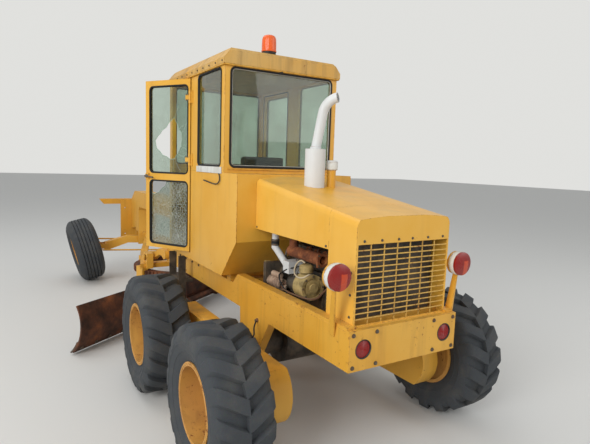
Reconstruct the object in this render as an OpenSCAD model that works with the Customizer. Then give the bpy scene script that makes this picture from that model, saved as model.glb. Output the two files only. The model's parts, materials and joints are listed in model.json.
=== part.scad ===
// Motor grader with a rigid frame, tandem rear drive and leaning front wheels.
// Millimetres, +X forward, +Y to the left, +Z up, origin on the ground below the middle.
// Inside the modules x is counted from the rear bumper's face, and place() moves it.

/* [Frame] */
// Half the width over the two side rails
rail_half_w = 463; // [440:1:490]
// Width of one side rail's box
rail_t = 70; // [50:1:90]
// Height of the rails' underside over the ground
rail_z = 835; // [810:1:860]
// Depth of a rail beside the engine
rail_deep_h = 275; // [250:1:290]
// Depth of a rail below the cab
rail_slim_h = 180; // [150:1:210]
// Where the deep part of a rail ends, from the bumper's face
rail_step_x = 1600; // [1500:10:1640]
// Length of the slanted step in the rail's top
rail_step_l = 95; // [60:5:140]
// Front end of the rails, from the bumper's face
rail_end_x = 3700; // [3690:5:3710]
// Thickness of the bumper plate
bumper_t = 30; // [20:1:40]
// Height of the bumper plate
bumper_h = 259; // [240:1:270]
// Diameter of a round reflector in the bumper
reflector_d = 120; // [90:1:140]
// Distance of a reflector from the middle
reflector_y = 353; // [330:1:370]

/* [Tandem drive] */
// Distance of the tandem's pivot from the bumper's face
tandem_x = 1370; // [1350:5:1400]
// Distance between the two axles of a tandem
tandem_span = 1463; // [1400:1:1500]
// Height of the tandem's pivot over the wheel centres
pivot_rise = 40; // [0:5:60]
// Width of a tandem case
case_w = 164; // [140:1:180]
// Inner face of a tandem case from the middle
case_y = 603; // [590:1:620]
// Half the height of a tandem case
case_half_h = 190; // [170:1:210]
// Radius of the case's round ends
case_end_r = 245; // [225:1:260]
// Radius of the axle tube
axle_tube_r = 120; // [100:1:140]

/* [Wheels] */
// Radius of a tyre over its tread
tyre_r = 521; // [500:1:540]
// Width of a tyre
tyre_w = 401; // [380:1:420]
// Height of a rear tyre's lugs
lug_h = 38; // [25:1:45]
// Number of lugs on each side of a rear tyre
lug_count = 17; // [14:1:17]
// Radius of the tyre's seat on the rim
rim_seat_r = 254; // [240:1:260]
// Height of the rim's flange over the seat
rim_flange_h = 20; // [14:1:26]
// Width of the rim over its flanges
rim_w = 330; // [310:1:350]
// Middle of a rear tyre from the middle of the machine
rear_wheel_y = 1046; // [1030:1:1060]
// Number of wheel bolts
bolt_count = 8; // [6:1:10]
// Radius of the wheel bolts' circle
bolt_circle_r = 138; // [125:1:145]

/* [Front axle] */
// Distance from the tandem's pivot to the front axle
wheelbase = 5230; // [5180:10:5300]
// Kingpin from the middle of the axle
kingpin_y = 800; // [780:5:820]
// Middle of a front wheel outside its kingpin
wheel_offset = 190; // [180:1:200]
// Lean of the front wheels as it is parked, their tops to the left
lean_deg = 14; // [0:1:15]
// Height of the axle's rocking pin over the wheels' leaning pins
rock_rise = 130; // [110:5:150]
// Length of a steering arm
steer_arm = 180; // [165:1:190]
// Height of the leaning bar over the leaning pins
lean_arm = 110; // [100:1:120]
// Half the thickness of the axle beam
beam_half_t = 60; // [50:1:62]

/* [Cowl and hood] */
// Half the width of the hood
hood_half_w = 400; // [385:1:410]
// Slope of the hood's top towards the rear
hood_slope = 8.2; // [6:0.1:10]
// Height of the hood's top at its rear seam
hood_z = 1824; // [1800:1:1850]
// Thickness of the hood's sheet
hood_t = 6; // [4:1:10]
// Radius of the hood's long edges
hood_edge_r = 62; // [40:1:80]
// Height of the hood's lower edge
hood_low_z = 1535; // [1500:5:1560]
// Rear face of the radiator cowl from the bumper's face
cowl_x = 54; // [40:1:70]
// Seam between cowl and hood
seam_x = 344; // [330:1:360]
// Lower edge of the grille's opening
grille_z = 1103; // [1100:1:1120]
// Upper edge of the grille's opening
grille_top_z = 1607; // [1580:1:1630]
// Half the width of the grille's opening
grille_half_w = 386; // [360:1:390]
// Number of level grille wires
grille_rows = 13; // [9:1:16]
// Number of upright grille wires
grille_posts = 6; // [4:1:8]
// Thickness of a grille wire
wire_d = 9; // [6:1:12]

/* [Engine and exhaust] */
// Rear face of the engine block from the bumper's face
engine_x = 430; // [410:5:470]
// Length of the engine block
engine_l = 800; // [740:10:840]
// Half the width of the engine block
engine_half_w = 200; // [180:5:220]
// Underside of the engine block
engine_z = 900; // [880:5:930]
// Height of the engine block
engine_h = 600; // [560:10:620]
// Muffler from the bumper's face
muffler_x = 990; // [960:5:1020]
// Muffler from the middle, to the left
muffler_y = 100; // [80:5:120]
// Radius of the muffler
muffler_r = 80; // [70:1:90]
// Top of the muffler's can
muffler_top_z = 2203; // [2150:1:2240]
// Radius of the tail pipe
tail_r = 38; // [30:1:45]
// Lean of the tail pipe's straight run
tail_lean_deg = 10; // [4:1:16]
// Length of the tail pipe's straight run
tail_run = 276; // [240:2:300]
// Radius of the tail pipe's bend
tail_bend_r = 150; // [120:1:170]
// Angle of the tail pipe's mouth from the vertical
tail_mouth_deg = 78; // [60:1:88]
// Turn of the tail pipe towards the right
tail_turn = 38; // [0:1:60]

/* [Tail lamps] */
// Radius of a tail lamp's lens
lamp_r = 75; // [60:1:80]
// Height of the tail lamps
lamp_z = 1425; // [1400:1:1450]
// Distance of a tail lamp from the middle
lamp_y = 532; // [515:1:550]

/* [Cab] */
// Half the width of the cab
cab_half_w = 576; // [560:1:590]
// Thickness of the cab's walls
cab_wall = 40; // [30:1:50]
// Rear wall of the cab's lower part
cab_x = 1401; // [1390:1:1420]
// Rear wall of the cab's upper part
upper_x = 1687; // [1660:1:1710]
// Front wall of the cab
cab_front_x = 3200; // [3180:5:3240]
// Underside of the cab
cab_z = 1085; // [1080:1:1095]
// Seam between the lower and the upper part
belt_z = 1986; // [1960:1:2000]
// Lower edge of the roof
eave_z = 2899; // [2880:1:2920]
// Height of the roof pan
roof_h = 146; // [120:1:160]
// Lower edge of the windows
window_z = 2042; // [2030:1:2060]
// Upper edge of the windows
window_top_z = 2876; // [2850:1:2880]
// Rear edge of the quarter window
quarter_x = 1754; // [1745:1:1770]
// Front edge of the quarter window
quarter_end_x = 2313; // [2280:1:2330]
// Thickness of a window pane
glass_t = 6; // [4:1:8]
// Radius of the windows' corners
corner_r = 42; // [20:1:60]

/* [Doors] */
// Rear edge of the door opening
door_x = 2510; // [2480:1:2530]
// Width of the door opening
door_open_w = 606; // [580:1:620]
// Lower edge of the door opening
door_z = 1150; // [1140:1:1180]
// Upper edge of the door opening
door_top_z = 2888; // [2860:1:2890]
// Gap around a door
door_gap = 6; // [5:1:8]
// Thickness of a door
door_t = 40; // [30:1:44]
// Opening of the left door as it is parked
door_deg = 30.6; // [0:0.1:60]
// Width of a door's upright frame members
stile_w = 58; // [40:1:70]
// Lower edge of the door's middle rail
mid_rail_z = 1866; // [1820:1:1900]
// Height of the door's middle rail
mid_rail_h = 82; // [60:1:100]

/* [Gooseneck] */
// Half the width of the gooseneck beam
neck_half_w = 130; // [110:5:150]
// Underside of the gooseneck beam
neck_z = 1250; // [1230:5:1280]
// Depth of the gooseneck beam
neck_h = 260; // [230:5:280]
// Front plate beyond the front axle
nose_reach = 450; // [430:5:500]
// Half the width of the front plate
nose_half_w = 315; // [280:5:330]
// Half the length of the front crossbar
crossbar_half_l = 675; // [640:5:700]

/* [Blade] */
// Middle of the circle from the bumper's face
circle_x = 4330; // [4320:5:4340]
// Outer radius of the circle over its teeth
circle_r = 700; // [690:1:702]
// Width of the circle's ring
circle_w = 90; // [70:5:110]
// Underside of the circle's ring
circle_z = 590; // [580:5:610]
// Thickness of the circle's ring
circle_h = 60; // [50:5:70]
// Number of teeth round the circle
tooth_count = 72; // [60:1:80]
// Turn of the blade as it is parked, left end to the rear
blade_deg = 36; // [0:1:45]
// Length of the blade
blade_l = 3960; // [3400:10:4000]
// Radius of the blade's curve
blade_r = 420; // [400:5:440]
// Thickness of the blade
blade_t = 18; // [14:1:22]
// Height of the blade's curve centre over the ground
blade_arc_z = 330; // [325:1:340]
// Drawbar's ball from the front axle
ball_back = 250; // [230:5:280]
// Height of the drawbar's ball
ball_z = 740; // [720:5:760]
// Radius of the drawbar's ball
ball_r = 55; // [45:1:60]

/* [Lift arms] */
// Lift arm's pivot behind the rails' front end
lift_back = 60; // [50:5:70]
// Height of the lift arms' pivot
lift_z = 925; // [915:1:930]
// Lift arm's pin ahead of its pivot
lift_reach = 475; // [465:1:485]
// Height of the lift arm's pin
lift_pin_z = 815; // [810:1:820]
// Thickness of a lift arm
lift_arm_t = 50; // [40:1:56]
// Radius of a lift arm's pin
lift_pin_r = 22; // [18:1:24]

/* [Hidden] */
$fn = 48;

yellow = "#DFA236";
rust = "#6B4128";
dark = "#33312E";
steel = "#8C8C88";

fit = 0.05;         // radial clearance of a pin in its bore
seat = 0.3;         // gap between pieces that lie against each other
axle_x = tandem_x + wheelbase;
nose_x = axle_x + nose_reach;
nose_t = 30;
crossbar_t = 80;
crossbar_h = 92;
overall_l = nose_x + nose_t + crossbar_t;
rail_inner = rail_half_w - rail_t;
rail_top_z = rail_z + rail_deep_h;
pivot_z = tyre_r + pivot_rise;

// The front tyre's lowest point under its centre while it leans
tread_half_w = 150;
shoulder_r = 60;
front_wheel_z = (tyre_r - shoulder_r) * cos(lean_deg) + (tread_half_w - shoulder_r) * sin(lean_deg) + shoulder_r;
// The axle rocks by this much, left end up, so that both leaning wheels stand on the ground
rock_deg = asin(wheel_offset / kingpin_y * sin(lean_deg));
// Lean of the wheels measured from the axle
lean_on_axle = -lean_deg - rock_deg;
rock_z = front_wheel_z + rock_rise * cos(rock_deg);

// Moves a shape from bumper coordinates to the part's own
module place() translate([-overall_l / 2, 0, 0]) children();

// Extrudes an outline drawn in X and Z, from y over a width
module along_y(y, width) translate([0, y + width, 0]) rotate([90, 0, 0]) linear_extrude(width) children();

// Extrudes an outline drawn in Y and Z, from x over a length
module along_x(x, length) translate([x, 0, 0]) rotate([90, 0, 90]) linear_extrude(length) children();

// A round bar along Y, from y over a length
module bar_y(x, y, z, r, length) translate([x, y, z]) rotate([-90, 0, 0]) cylinder(r = r, h = length);

// A round bar along X, from x over a length
module bar_x(x, y, z, r, length) translate([x, y, z]) rotate([0, 90, 0]) cylinder(r = r, h = length);

// A box from its low corner to its high corner
module box(low, high) translate(low) cube(high - low);

// A rectangle with round corners, from its low corner to its high corner
module rounded(low, high, r) {
    translate([low[0] + r, low[1]]) square([high[0] - low[0] - 2 * r, high[1] - low[1]]);
    translate([low[0], low[1] + r]) square([high[0] - low[0], high[1] - low[1] - 2 * r]);
    for (x = [low[0] + r, high[0] - r])
        for (y = [low[1] + r, high[1] - r])
            translate([x, y]) circle(r = r, $fn = 32);
}

// Draws children on the left and, mirrored, on the right
module both_sides() {
    children();
    mirror([0, 1, 0]) children();
}

// Side rails with bumper and cross members

bumper_z = rail_z;
cross_members = [          // x, length, z, height
    [120, 170, rail_top_z - 60, 60],
    [520, 90, rail_z, 60],
    [1180, 90, rail_z, 60],
    [1900, 100, rail_z + 20, 120],
    [2420, 100, rail_z + 20, 120]];

cab_mounts = [1750, 2440, 3090];

module rail_outline() polygon([
    [bumper_t, rail_z], [rail_end_x, rail_z], [rail_end_x, rail_z + rail_slim_h],
    [rail_step_x + rail_step_l, rail_z + rail_slim_h], [rail_step_x, rail_top_z], [bumper_t, rail_top_z]]);

module saddle_outline() polygon([
    [tandem_x - 360, rail_z], [tandem_x - 150, pivot_z - 60], [tandem_x + 150, pivot_z - 60],
    [tandem_x + 170, rail_z]]);

module frame_rails() color(yellow) place() difference() {
    union() {
        both_sides() along_y(rail_inner, rail_t) rail_outline();
        both_sides() along_y(rail_inner, rail_t) saddle_outline();
        box([0, -rail_half_w, bumper_z], [bumper_t, rail_half_w, bumper_z + bumper_h]);
        for (c = cross_members)
            box([c[0], -rail_inner - 1, c[2]], [c[0] + c[1], rail_inner + 1, c[2] + c[3]]);
        for (x = cab_mounts)
            both_sides() box([x, rail_inner, rail_z + rail_slim_h - 1], [x + 80, rail_half_w, cab_z - seat]);
    }
    for (side = [-1, 1])
        bar_x(-1, side * reflector_y, bumper_z + bumper_h / 2 + 4, reflector_d / 2 + 1, 13);
    bar_y(tandem_x, -rail_half_w - 1, pivot_z, axle_tube_r + seat, 2 * rail_half_w + 2);
    bar_y(lift_x, -rail_half_w - 1, lift_z, lift_shaft_r + fit, 2 * rail_half_w + 2);
}

// Axle tube with the final drive in the middle
drive_r = 205;
trunnion_r = 80;
trunnion_l = 110;

module axle_housing() color(dark) place() {
    bar_y(tandem_x, -case_y + 8, pivot_z, axle_tube_r, 2 * case_y - 16);
    bar_y(tandem_x, -190, pivot_z, drive_r, 380);
    bar_y(tandem_x, -case_y - trunnion_l, pivot_z, trunnion_r, 2 * case_y + 2 * trunnion_l);
    bar_x(tandem_x, 0, pivot_z + 40, 90, 420);
}

// Gooseneck with its root between the rails, head and nose plate
neck_top_z = neck_z + neck_h;
root_x = cab_front_x - 350;
root_end_x = rail_end_x - 140;
head_x = axle_x - 108;
head_w = 216;
rock_pin_r = 35;
slot_half = beam_half_t + 8;
slot_top_z = rock_z + 150;

module neck_outline() polygon([
    [root_x, rail_z], [root_end_x, rail_z], [root_end_x + 30, neck_z], [head_x - 60, neck_z],
    [head_x, neck_z - 60], [head_x, rock_z - 75], [head_x + head_w, rock_z - 75],
    [head_x + head_w, 860], [nose_x, 800], [nose_x, neck_z + 75], [head_x + head_w + 60, neck_top_z],
    [cab_front_x + 440, neck_top_z], [cab_front_x + 30, cab_z - 20], [root_x, cab_z - 20]]);

module crossbar_outline() polygon([
    [-crossbar_half_l, crossbar_h], [-crossbar_half_l + 75, 0],
    [crossbar_half_l - 75, 0], [crossbar_half_l, crossbar_h]]);

ball_x = axle_x - ball_back;
module gooseneck() color(yellow) place() {
    difference() {
        union() {
            along_y(-neck_half_w, 2 * neck_half_w) neck_outline();
            box([root_x, -rail_inner, rail_z], [root_end_x, rail_inner, rail_z + rail_slim_h]);
        }
        box([axle_x - slot_half, -neck_half_w - 1, 0], [axle_x + slot_half, neck_half_w + 1, slot_top_z]);
        bar_x(head_x - 1, 0, rock_z, rock_pin_r + fit, head_w + 2);
    }
    difference() {
        box([nose_x, -nose_half_w, 610], [nose_x + nose_t, nose_half_w, 1330]);
        for (y = [-240, 240])
            for (z = [700, 1180])
                bar_x(nose_x - 1, y, z, 11, nose_t + 2);
    }
    translate([0, 0, 1330 - crossbar_h + 15]) along_x(nose_x + nose_t, crossbar_t) crossbar_outline();
    // Bracket behind the head with the socket's rear wall for the drawbar's ball
    box([ball_x + ball_r + seat, -70, ball_z - 60], [head_x + 1, 70, ball_z + 60]);
}

// Radiator cowl and hood share one outline, drawn in Y and Z with the hood's top at zero
crown_r = 3200;

module hood_outline(inset, depth) intersection() {
    union() {
        translate([-hood_half_w + inset, -depth])
            square([2 * (hood_half_w - inset), depth - hood_edge_r - 10]);
        for (side = [-1, 1])
            translate([side * (hood_half_w - hood_edge_r), -hood_edge_r - 10])
                circle(r = hood_edge_r - inset, $fn = 64);
        translate([-hood_half_w + hood_edge_r, -depth])
            square([2 * (hood_half_w - hood_edge_r), depth - 4 - inset]);
    }
    translate([0, -crown_r - inset]) circle(r = crown_r, $fn = 360);
}

// Extrudes an outline along the hood's slope, over the length from the cowl to the cab
module along_hood() translate([seam_x, 0, hood_z]) rotate([0, -hood_slope, 0])
    translate([-600, 0, 0]) rotate([90, 0, 90]) linear_extrude(2000) children();

module hood_shell() along_hood() difference() {
    hood_outline(0, 900);
    hood_outline(hood_t, 901);
}

module hood() color(yellow) place() intersection() {
    hood_shell();
    box([seam_x + seat, -600, hood_low_z], [cab_x - 3, 600, 2300]);
}

module grille_hole() box([cowl_x - 1, -grille_half_w, grille_z],
    [cowl_x + 30, grille_half_w, grille_top_z]);

module radiator_cowl() color(yellow) place() {
    intersection() {
        hood_shell();
        box([cowl_x, -600, rail_top_z], [seam_x, 600, 2300]);
    }
    difference() {
        intersection() {
            along_hood() hood_outline(0, 900);
            box([cowl_x, -600, bumper_z + bumper_h], [cowl_x + 8, 600, 2300]);
        }
        grille_hole();
        both_sides() box([cowl_x - 1, rail_inner, rail_z], [cowl_x + 9, 600, rail_top_z]);
    }
    // Shelf that closes the cowl's underside on the bumper
    box([bumper_t, -rail_inner, bumper_z + bumper_h - 8], [cowl_x + 8, rail_inner, bumper_z + bumper_h]);
    // Fan shroud between radiator and engine
    difference() {
        intersection() {
            along_hood() hood_outline(1, 900);
            box([seam_x - 14, -600, rail_top_z], [seam_x - 8, 600, 2300]);
        }
        bar_x(seam_x - 20, 0, fan_z, fan_r + 20, 20);
    }
    difference() {
        bar_x(seam_x - 44, 0, fan_z, fan_r + 26, 49);
        bar_x(seam_x - 45, 0, fan_z, fan_r + 20, 51);
    }
}

module grille() color("#D8C489") place() {
    row_pitch = (grille_top_z - grille_z) / (grille_rows + 1);
    post_pitch = 2 * grille_half_w / (grille_posts + 1);
    for (i = [1:grille_rows])
        translate([cowl_x + wire_d / 2 + 1, -grille_half_w, grille_z + i * row_pitch])
            rotate([-90, 0, 0]) cylinder(r = wire_d / 2, h = 2 * grille_half_w, $fn = 8);
    for (i = [1:grille_posts])
        translate([cowl_x + wire_d * 1.3 + 1, -grille_half_w + i * post_pitch, grille_z])
            cylinder(r = wire_d / 2, h = grille_top_z - grille_z, $fn = 8);
}

module radiator_core() color(dark) place()
    box([150, -345, rail_top_z], [255, 345, 1660]);

// Engine: crankcase, cylinder head and rocker cover, with the fittings that the open bay shows
engine_end_x = engine_x + engine_l;
head_z = engine_z + engine_h - 230;
rocker_z = engine_z + engine_h - 70;
block_y = engine_half_w - 25;
head_y = engine_half_w - 60;
crank_z = engine_z + 190;
flywheel_r = 235;
flywheel_l = 105;
fan_r = 235;
fan_z = 1330;
fan_x = engine_x - 80;
fan_blades = 6;
foot_l = 90;
foot_xs = [engine_x + 90, engine_end_x - 90 - foot_l];
rib_pitch = 176;

module sump_outline() polygon([
    [-150, 0], [150, 0], [engine_half_w - 20, 70], [engine_half_w - 20, 90], [-engine_half_w + 20, 90],
    [-engine_half_w + 20, 70]]);

module engine_block() color("#6E6A60") place() {
    box([engine_x, -block_y, engine_z + 88], [engine_end_x, block_y, head_z]);
    translate([0, 0, engine_z]) along_x(engine_x + 30, engine_l - 60) sump_outline();
    box([engine_x + 20, -head_y, head_z - 1], [engine_end_x - 20, head_y, rocker_z]);
    box([engine_x + 50, -75, rocker_z - 1], [engine_end_x - 50, 75, engine_z + engine_h]);
    for (i = [0:2])
        box([engine_x + 70 + i * rib_pitch, -block_y - 20, engine_z + 120],
            [engine_x + 90 + i * rib_pitch, block_y + 20, head_z - 30]);
    // Flywheel housing with the starter's flange, and the gear case behind it
    intersection() {
        bar_x(engine_end_x - 1, 0, crank_z, flywheel_r, flywheel_l);
        box([engine_end_x - 1, -engine_half_w, engine_z], [engine_end_x + flywheel_l, 300, 1400]);
    }
    box([starter_end_x + seat, 100, starter_z - 62], [engine_end_x + flywheel_l - 1, starter_y + 54, starter_z + 150]);
    bar_x(engine_end_x + flywheel_l - 2, 0, crank_z, 130, 230);
    // Timing case, pulleys and the fan's shaft towards the radiator
    box([engine_x - 45, -150, engine_z + 60], [engine_x + 1, 150, head_z - 20]);
    bar_x(fan_x, 0, fan_z, 34, engine_x + 30 - fan_x);
    bar_x(engine_x - 78, 0, fan_z, 70, 26);
    bar_x(engine_x - 68, 0, crank_z, 85, 30);
    // Injection pump on its shelf
    bar_x(engine_x + 400, 262, crank_z + 62, 55, 180);
    box([engine_x + 420, block_y - 1, crank_z + 2], [engine_x + 560, 290, crank_z + 42]);
}

// Fan: a hub with angled blades, in front of its shaft's end
module engine_fan() color(dark) place() {
    bar_x(fan_x - 38, 0, fan_z, 34, 38 - seat);
    for (i = [0:fan_blades - 1])
        translate([seam_x, 0, fan_z]) rotate([i * 360 / fan_blades, 0, 0])
            translate([0, -34, 20]) rotate([0, 0, 24]) cube([5, 78, fan_r - 20]);
}

// Four feet from the crankcase to the rails
module engine_feet() color(dark) place() for (x = foot_xs) both_sides()
    box([x + seat, block_y + seat, engine_z + 100], [x + foot_l, rail_inner, engine_z + 130]);

// Starter motor with its solenoid, beside the flywheel housing
starter_end_x = 1290;
starter_y = 296;
starter_z = 1112;
module starter() color(dark) place() difference() {
    union() {
        bar_x(starter_end_x - 195, starter_y, starter_z, 45, 195);
        bar_x(starter_end_x - 160, starter_y + 4, starter_z + 67, 24, 120);
        box([starter_end_x - 120, starter_y - 16, starter_z + 30], [starter_end_x - 80, starter_y + 22, starter_z + 60]);
    }
    bar_x(starter_end_x - 196, starter_y, starter_z, 30, 26);
}

// Manifold: four ports into a log with an open flange, and a riser below the hood
manifold_y = 285;
manifold_z = 1410;
port_pitch = 115;
manifold_x = 610;
riser_x = muffler_x - 26;
riser_top_z = 1830;
module exhaust_manifold() color(rust) place() {
    difference() {
        union() {
            bar_x(manifold_x - 40, manifold_y, manifold_z, 44, 3 * port_pitch + 85);
            box([manifold_x - 52, manifold_y - 50, manifold_z - 48], [manifold_x - 38, manifold_y + 50, manifold_z + 48]);
        }
        bar_x(manifold_x - 53, manifold_y, manifold_z, 32, 60);
    }
    for (i = [0:3]) {
        bar_y(manifold_x + i * port_pitch, head_y + seat, manifold_z - 15, 28, manifold_y - head_y - seat);
        bar_y(manifold_x + i * port_pitch, head_y + seat, manifold_z - 15, 44, 14);
    }
    translate([riser_x, manifold_y, manifold_z]) cylinder(r = 36, h = riser_top_z - manifold_z);
    bar_y(riser_x, muffler_y, riser_top_z, 36, manifold_y - muffler_y);
    for (y = [muffler_y, manifold_y])
        translate([riser_x, y, riser_top_z]) sphere(r = 38);
    translate([riser_x, muffler_y, riser_top_z]) cylinder(r = 34, h = 60);
}

// Drum with a grooved face, bowl above it, and a small canister by the flywheel housing
drum_x = 655;
drum_y = 300;
drum_z = 1190;
drum_r = 95;
module engine_filters() color("#B9A96A") place() {
    difference() {
        bar_x(drum_x, drum_y, drum_z, drum_r, 130);
        difference() {
            bar_x(drum_x - 1, drum_y, drum_z, 74, 9);
            bar_x(drum_x - 2, drum_y, drum_z, 60, 11);
        }
    }
    bar_x(drum_x - 16, drum_y, drum_z, 34, 20);
    box([drum_x + 48, block_y + seat, drum_z - 40], [drum_x + 105, drum_y - 70, drum_z + 40]);
    translate([drum_x + 92, drum_y + 4, drum_z + drum_r - 6]) cylinder(r = 18, h = 20);
    translate([drum_x + 92, drum_y + 4, drum_z + drum_r + 7]) cylinder(r = 52, h = 46);
    translate([drum_x + 92, drum_y + 4, drum_z + drum_r + 53]) cylinder(r1 = 52, r2 = 36, h = 10);
    translate([engine_end_x + flywheel_l + 42, 285, 1120]) cylinder(r = 38, h = 112);
    box([engine_end_x + flywheel_l - 1 + seat, 262, 1231], [engine_end_x + flywheel_l + 66, 308, 1256]);
}

// Intake pipe: down from the hood, through an elbow and into its box on the crankcase
intake_x = 1287;
intake_y = 270;
intake_elbow_z = 1390;
intake_deg = 60;
module intake_pipe() color("#C9C7BF") place() {
    translate([intake_x, intake_y, intake_elbow_z]) {
        cylinder(r = 28, h = 250);
        sphere(r = 31);
        rotate([0, 180 + intake_deg, 0]) cylinder(r = 28, h = 245);
    }
    box([engine_x + 565, block_y + seat, 1222], [engine_x + 655, intake_y + 36, 1320]);
}

// Muffler, tail pipe and pre-cleaner on the hood
hood_top_at = hood_z - 8 + (muffler_x - seam_x) * tan(hood_slope);

// The hood as one solid, a little larger, that cuts a seat into what stands on it
module hood_solid() along_hood() hood_outline(-seat, 900);

module tail_arc(from, to, pipe_r) rotate([90, 0, 0]) rotate([0, 0, from])
    rotate_extrude(angle = to - from) translate([tail_bend_r, 0]) circle(r = pipe_r);

// Tail pipe: a leaning run, then a bend to the open mouth
module tail_pipe() {
    rotate([0, -tail_lean_deg, 0]) translate([0, 0, -12]) cylinder(r = tail_r, h = tail_run + 12);
    translate([-tail_run * sin(tail_lean_deg) - tail_bend_r * cos(tail_lean_deg), 0,
        tail_run * cos(tail_lean_deg) - tail_bend_r * sin(tail_lean_deg)]) difference() {
        tail_arc(tail_lean_deg, tail_mouth_deg, tail_r);
        tail_arc(tail_mouth_deg - 25, tail_mouth_deg + 5, tail_r - 4);
    }
}

module muffler() color("#B7B6AF") place() {
    difference() {
        translate([muffler_x, muffler_y, hood_top_at - 40])
            cylinder(r = muffler_r, h = muffler_top_z - hood_top_at + 40);
        hood_solid();
    }
    translate([muffler_x, muffler_y, muffler_top_z]) cylinder(r = tail_r + 5, h = 18);
    translate([muffler_x, muffler_y, muffler_top_z]) rotate([0, 0, tail_turn]) tail_pipe();
}

cleaner_x = 974;
cleaner_y = -50;
cleaner_r = 35;
cap_r = 47;
cap_z = 2040;
module pre_cleaner() color(yellow) place() difference() {
    translate([cleaner_x, cleaner_y, 0]) {
        translate([0, 0, hood_top_at - 40]) cylinder(r = cleaner_r, h = cap_z - hood_top_at + 40);
        translate([0, 0, cap_z]) cylinder(r1 = cleaner_r, r2 = cap_r, h = 8);
        translate([0, 0, cap_z + 8]) cylinder(r = cap_r, h = 58);
        translate([0, 0, cap_z + 66]) cylinder(r1 = cap_r, r2 = cap_r - 14, h = 12);
    }
    hood_solid();
}

// Tail lamps on flat posts, and the round reflectors in the bumper
lamp_x = 23;
lamp_depth = 78;
lamp_feet = [[150, rail_half_w, 1019, 1], [40, rail_half_w, 1060, -1]];

module lamp_posts() color(yellow) place() for (f = lamp_feet) {
    hull() {
        box([f[0], f[3] == 1 ? f[1] : -f[1] - 8, f[2]], [f[0] + 55, f[3] == 1 ? f[1] + 8 : -f[1], f[2] + 60]);
        translate([lamp_x + lamp_depth - 35, f[3] * lamp_y - 4, lamp_z - lamp_r - 12]) cube([35, 8, 24]);
    }
    bar_x(lamp_x + 8, f[3] * lamp_y, lamp_z, lamp_r + 5, lamp_depth - 8);
}

module lamp_lenses() color("#C0392B") place() {
    for (side = [-1, 1]) {
        translate([lamp_x + 8, side * lamp_y, lamp_z]) rotate([0, -90, 0])
            cylinder(r1 = lamp_r, r2 = lamp_r - 22, h = 20);
        bar_x(2, side * reflector_y, bumper_z + bumper_h / 2 + 4, reflector_d / 2, 10);
    }
}

// Cab: a lower tub, an upper frame with its windows cut, and a roof pan
window_half_w = 516;

module tub_outline() polygon([
    [cab_x, 1423], [cab_x + 298, cab_z], [cab_front_x, cab_z], [cab_front_x, belt_z], [cab_x, belt_z]]);

module tub_inside() polygon([
    [cab_x + cab_wall, 1441], [cab_x + 318, cab_z + cab_wall], [cab_front_x - cab_wall, cab_z + cab_wall],
    [cab_front_x - cab_wall, belt_z + 10], [upper_x + cab_wall, belt_z + 10],
    [upper_x + cab_wall, belt_z - cab_wall], [cab_x + cab_wall, belt_z - cab_wall]]);

module door_holes() for (side = [-1, 1])
    translate([door_x, side * cab_half_w - 60, door_z]) cube([door_open_w, 120, door_top_z - door_z]);

module cab_lower() color(yellow) place() difference() {
    along_y(-cab_half_w, 2 * cab_half_w) tub_outline();
    along_y(-cab_half_w + cab_wall, 2 * (cab_half_w - cab_wall)) tub_inside();
    door_holes();
}

hinge_y = cab_half_w + 16;
hinge_x = door_x - 2;
hinge_zs = [1330, 2030, 2700];
knuckle_r = 14;
hinge_pin_r = 7;

// Fixed half of the door hinges: a leaf and two knuckles with the pin
module hinge_post(z) {
    for (dz = [-60, 28])
        translate([hinge_x, hinge_y, z + dz]) cylinder(r = knuckle_r, h = 32);
    translate([hinge_x, hinge_y, z - 60]) cylinder(r = hinge_pin_r, h = 120);
    box([hinge_x - 50, cab_half_w - 1, z - 60], [hinge_x - knuckle_r - 2, cab_half_w + 8, z + 60]);
    for (dz = [-60, 28])
        box([hinge_x - 20, cab_half_w - 1, z + dz], [hinge_x, hinge_y, z + dz + 32]);
}

module cab_frame() color(yellow) place() {
    difference() {
        box([upper_x, -cab_half_w, belt_z], [cab_front_x, cab_half_w, eave_z]);
        box([upper_x + cab_wall, -cab_half_w + cab_wall, belt_z - 1],
            [cab_front_x - cab_wall, cab_half_w - cab_wall, eave_z + 1]);
        along_x(upper_x - 1, cab_front_x - upper_x + 2)
            rounded([-window_half_w, window_z], [window_half_w, window_top_z], corner_r);
        along_y(-cab_half_w - 1, 2 * cab_half_w + 2)
            rounded([quarter_x, window_z], [quarter_end_x, window_top_z], corner_r);
        door_holes();
    }
    both_sides() for (z = [hinge_zs[1] + 60, hinge_zs[2]]) hinge_post(z);
    cab_ledges();
}

roof_over = 19;
roof_back = 28;
roof_x = (upper_x - roof_back + cab_front_x + roof_over) / 2;
roof_l = cab_front_x + roof_over - upper_x + roof_back;
roof_w = 2 * (cab_half_w + roof_over);

// Outline with its upper corners cut on a slope that starts at a height and reaches in by an inset
module roof_outline(width, rim_h, inset) polygon([
    [-width / 2, 0], [width / 2, 0], [width / 2, rim_h], [width / 2 - inset, roof_h - 12],
    [width / 2 - inset - 60, roof_h], [-width / 2 + inset + 60, roof_h],
    [-width / 2 + inset, roof_h - 12], [-width / 2, rim_h]]);

module cab_roof() color(yellow) place() {
    translate([roof_x, 0, eave_z]) intersection() {
        along_x(-roof_l / 2, roof_l) roof_outline(roof_w, 48, 72);
        along_y(-roof_w / 2, roof_w) roof_outline(roof_l, 108, 24);
    }
    translate([beacon_x, beacon_y, eave_z + roof_h - 3]) cylinder(r = 52, h = 28);
}

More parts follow.
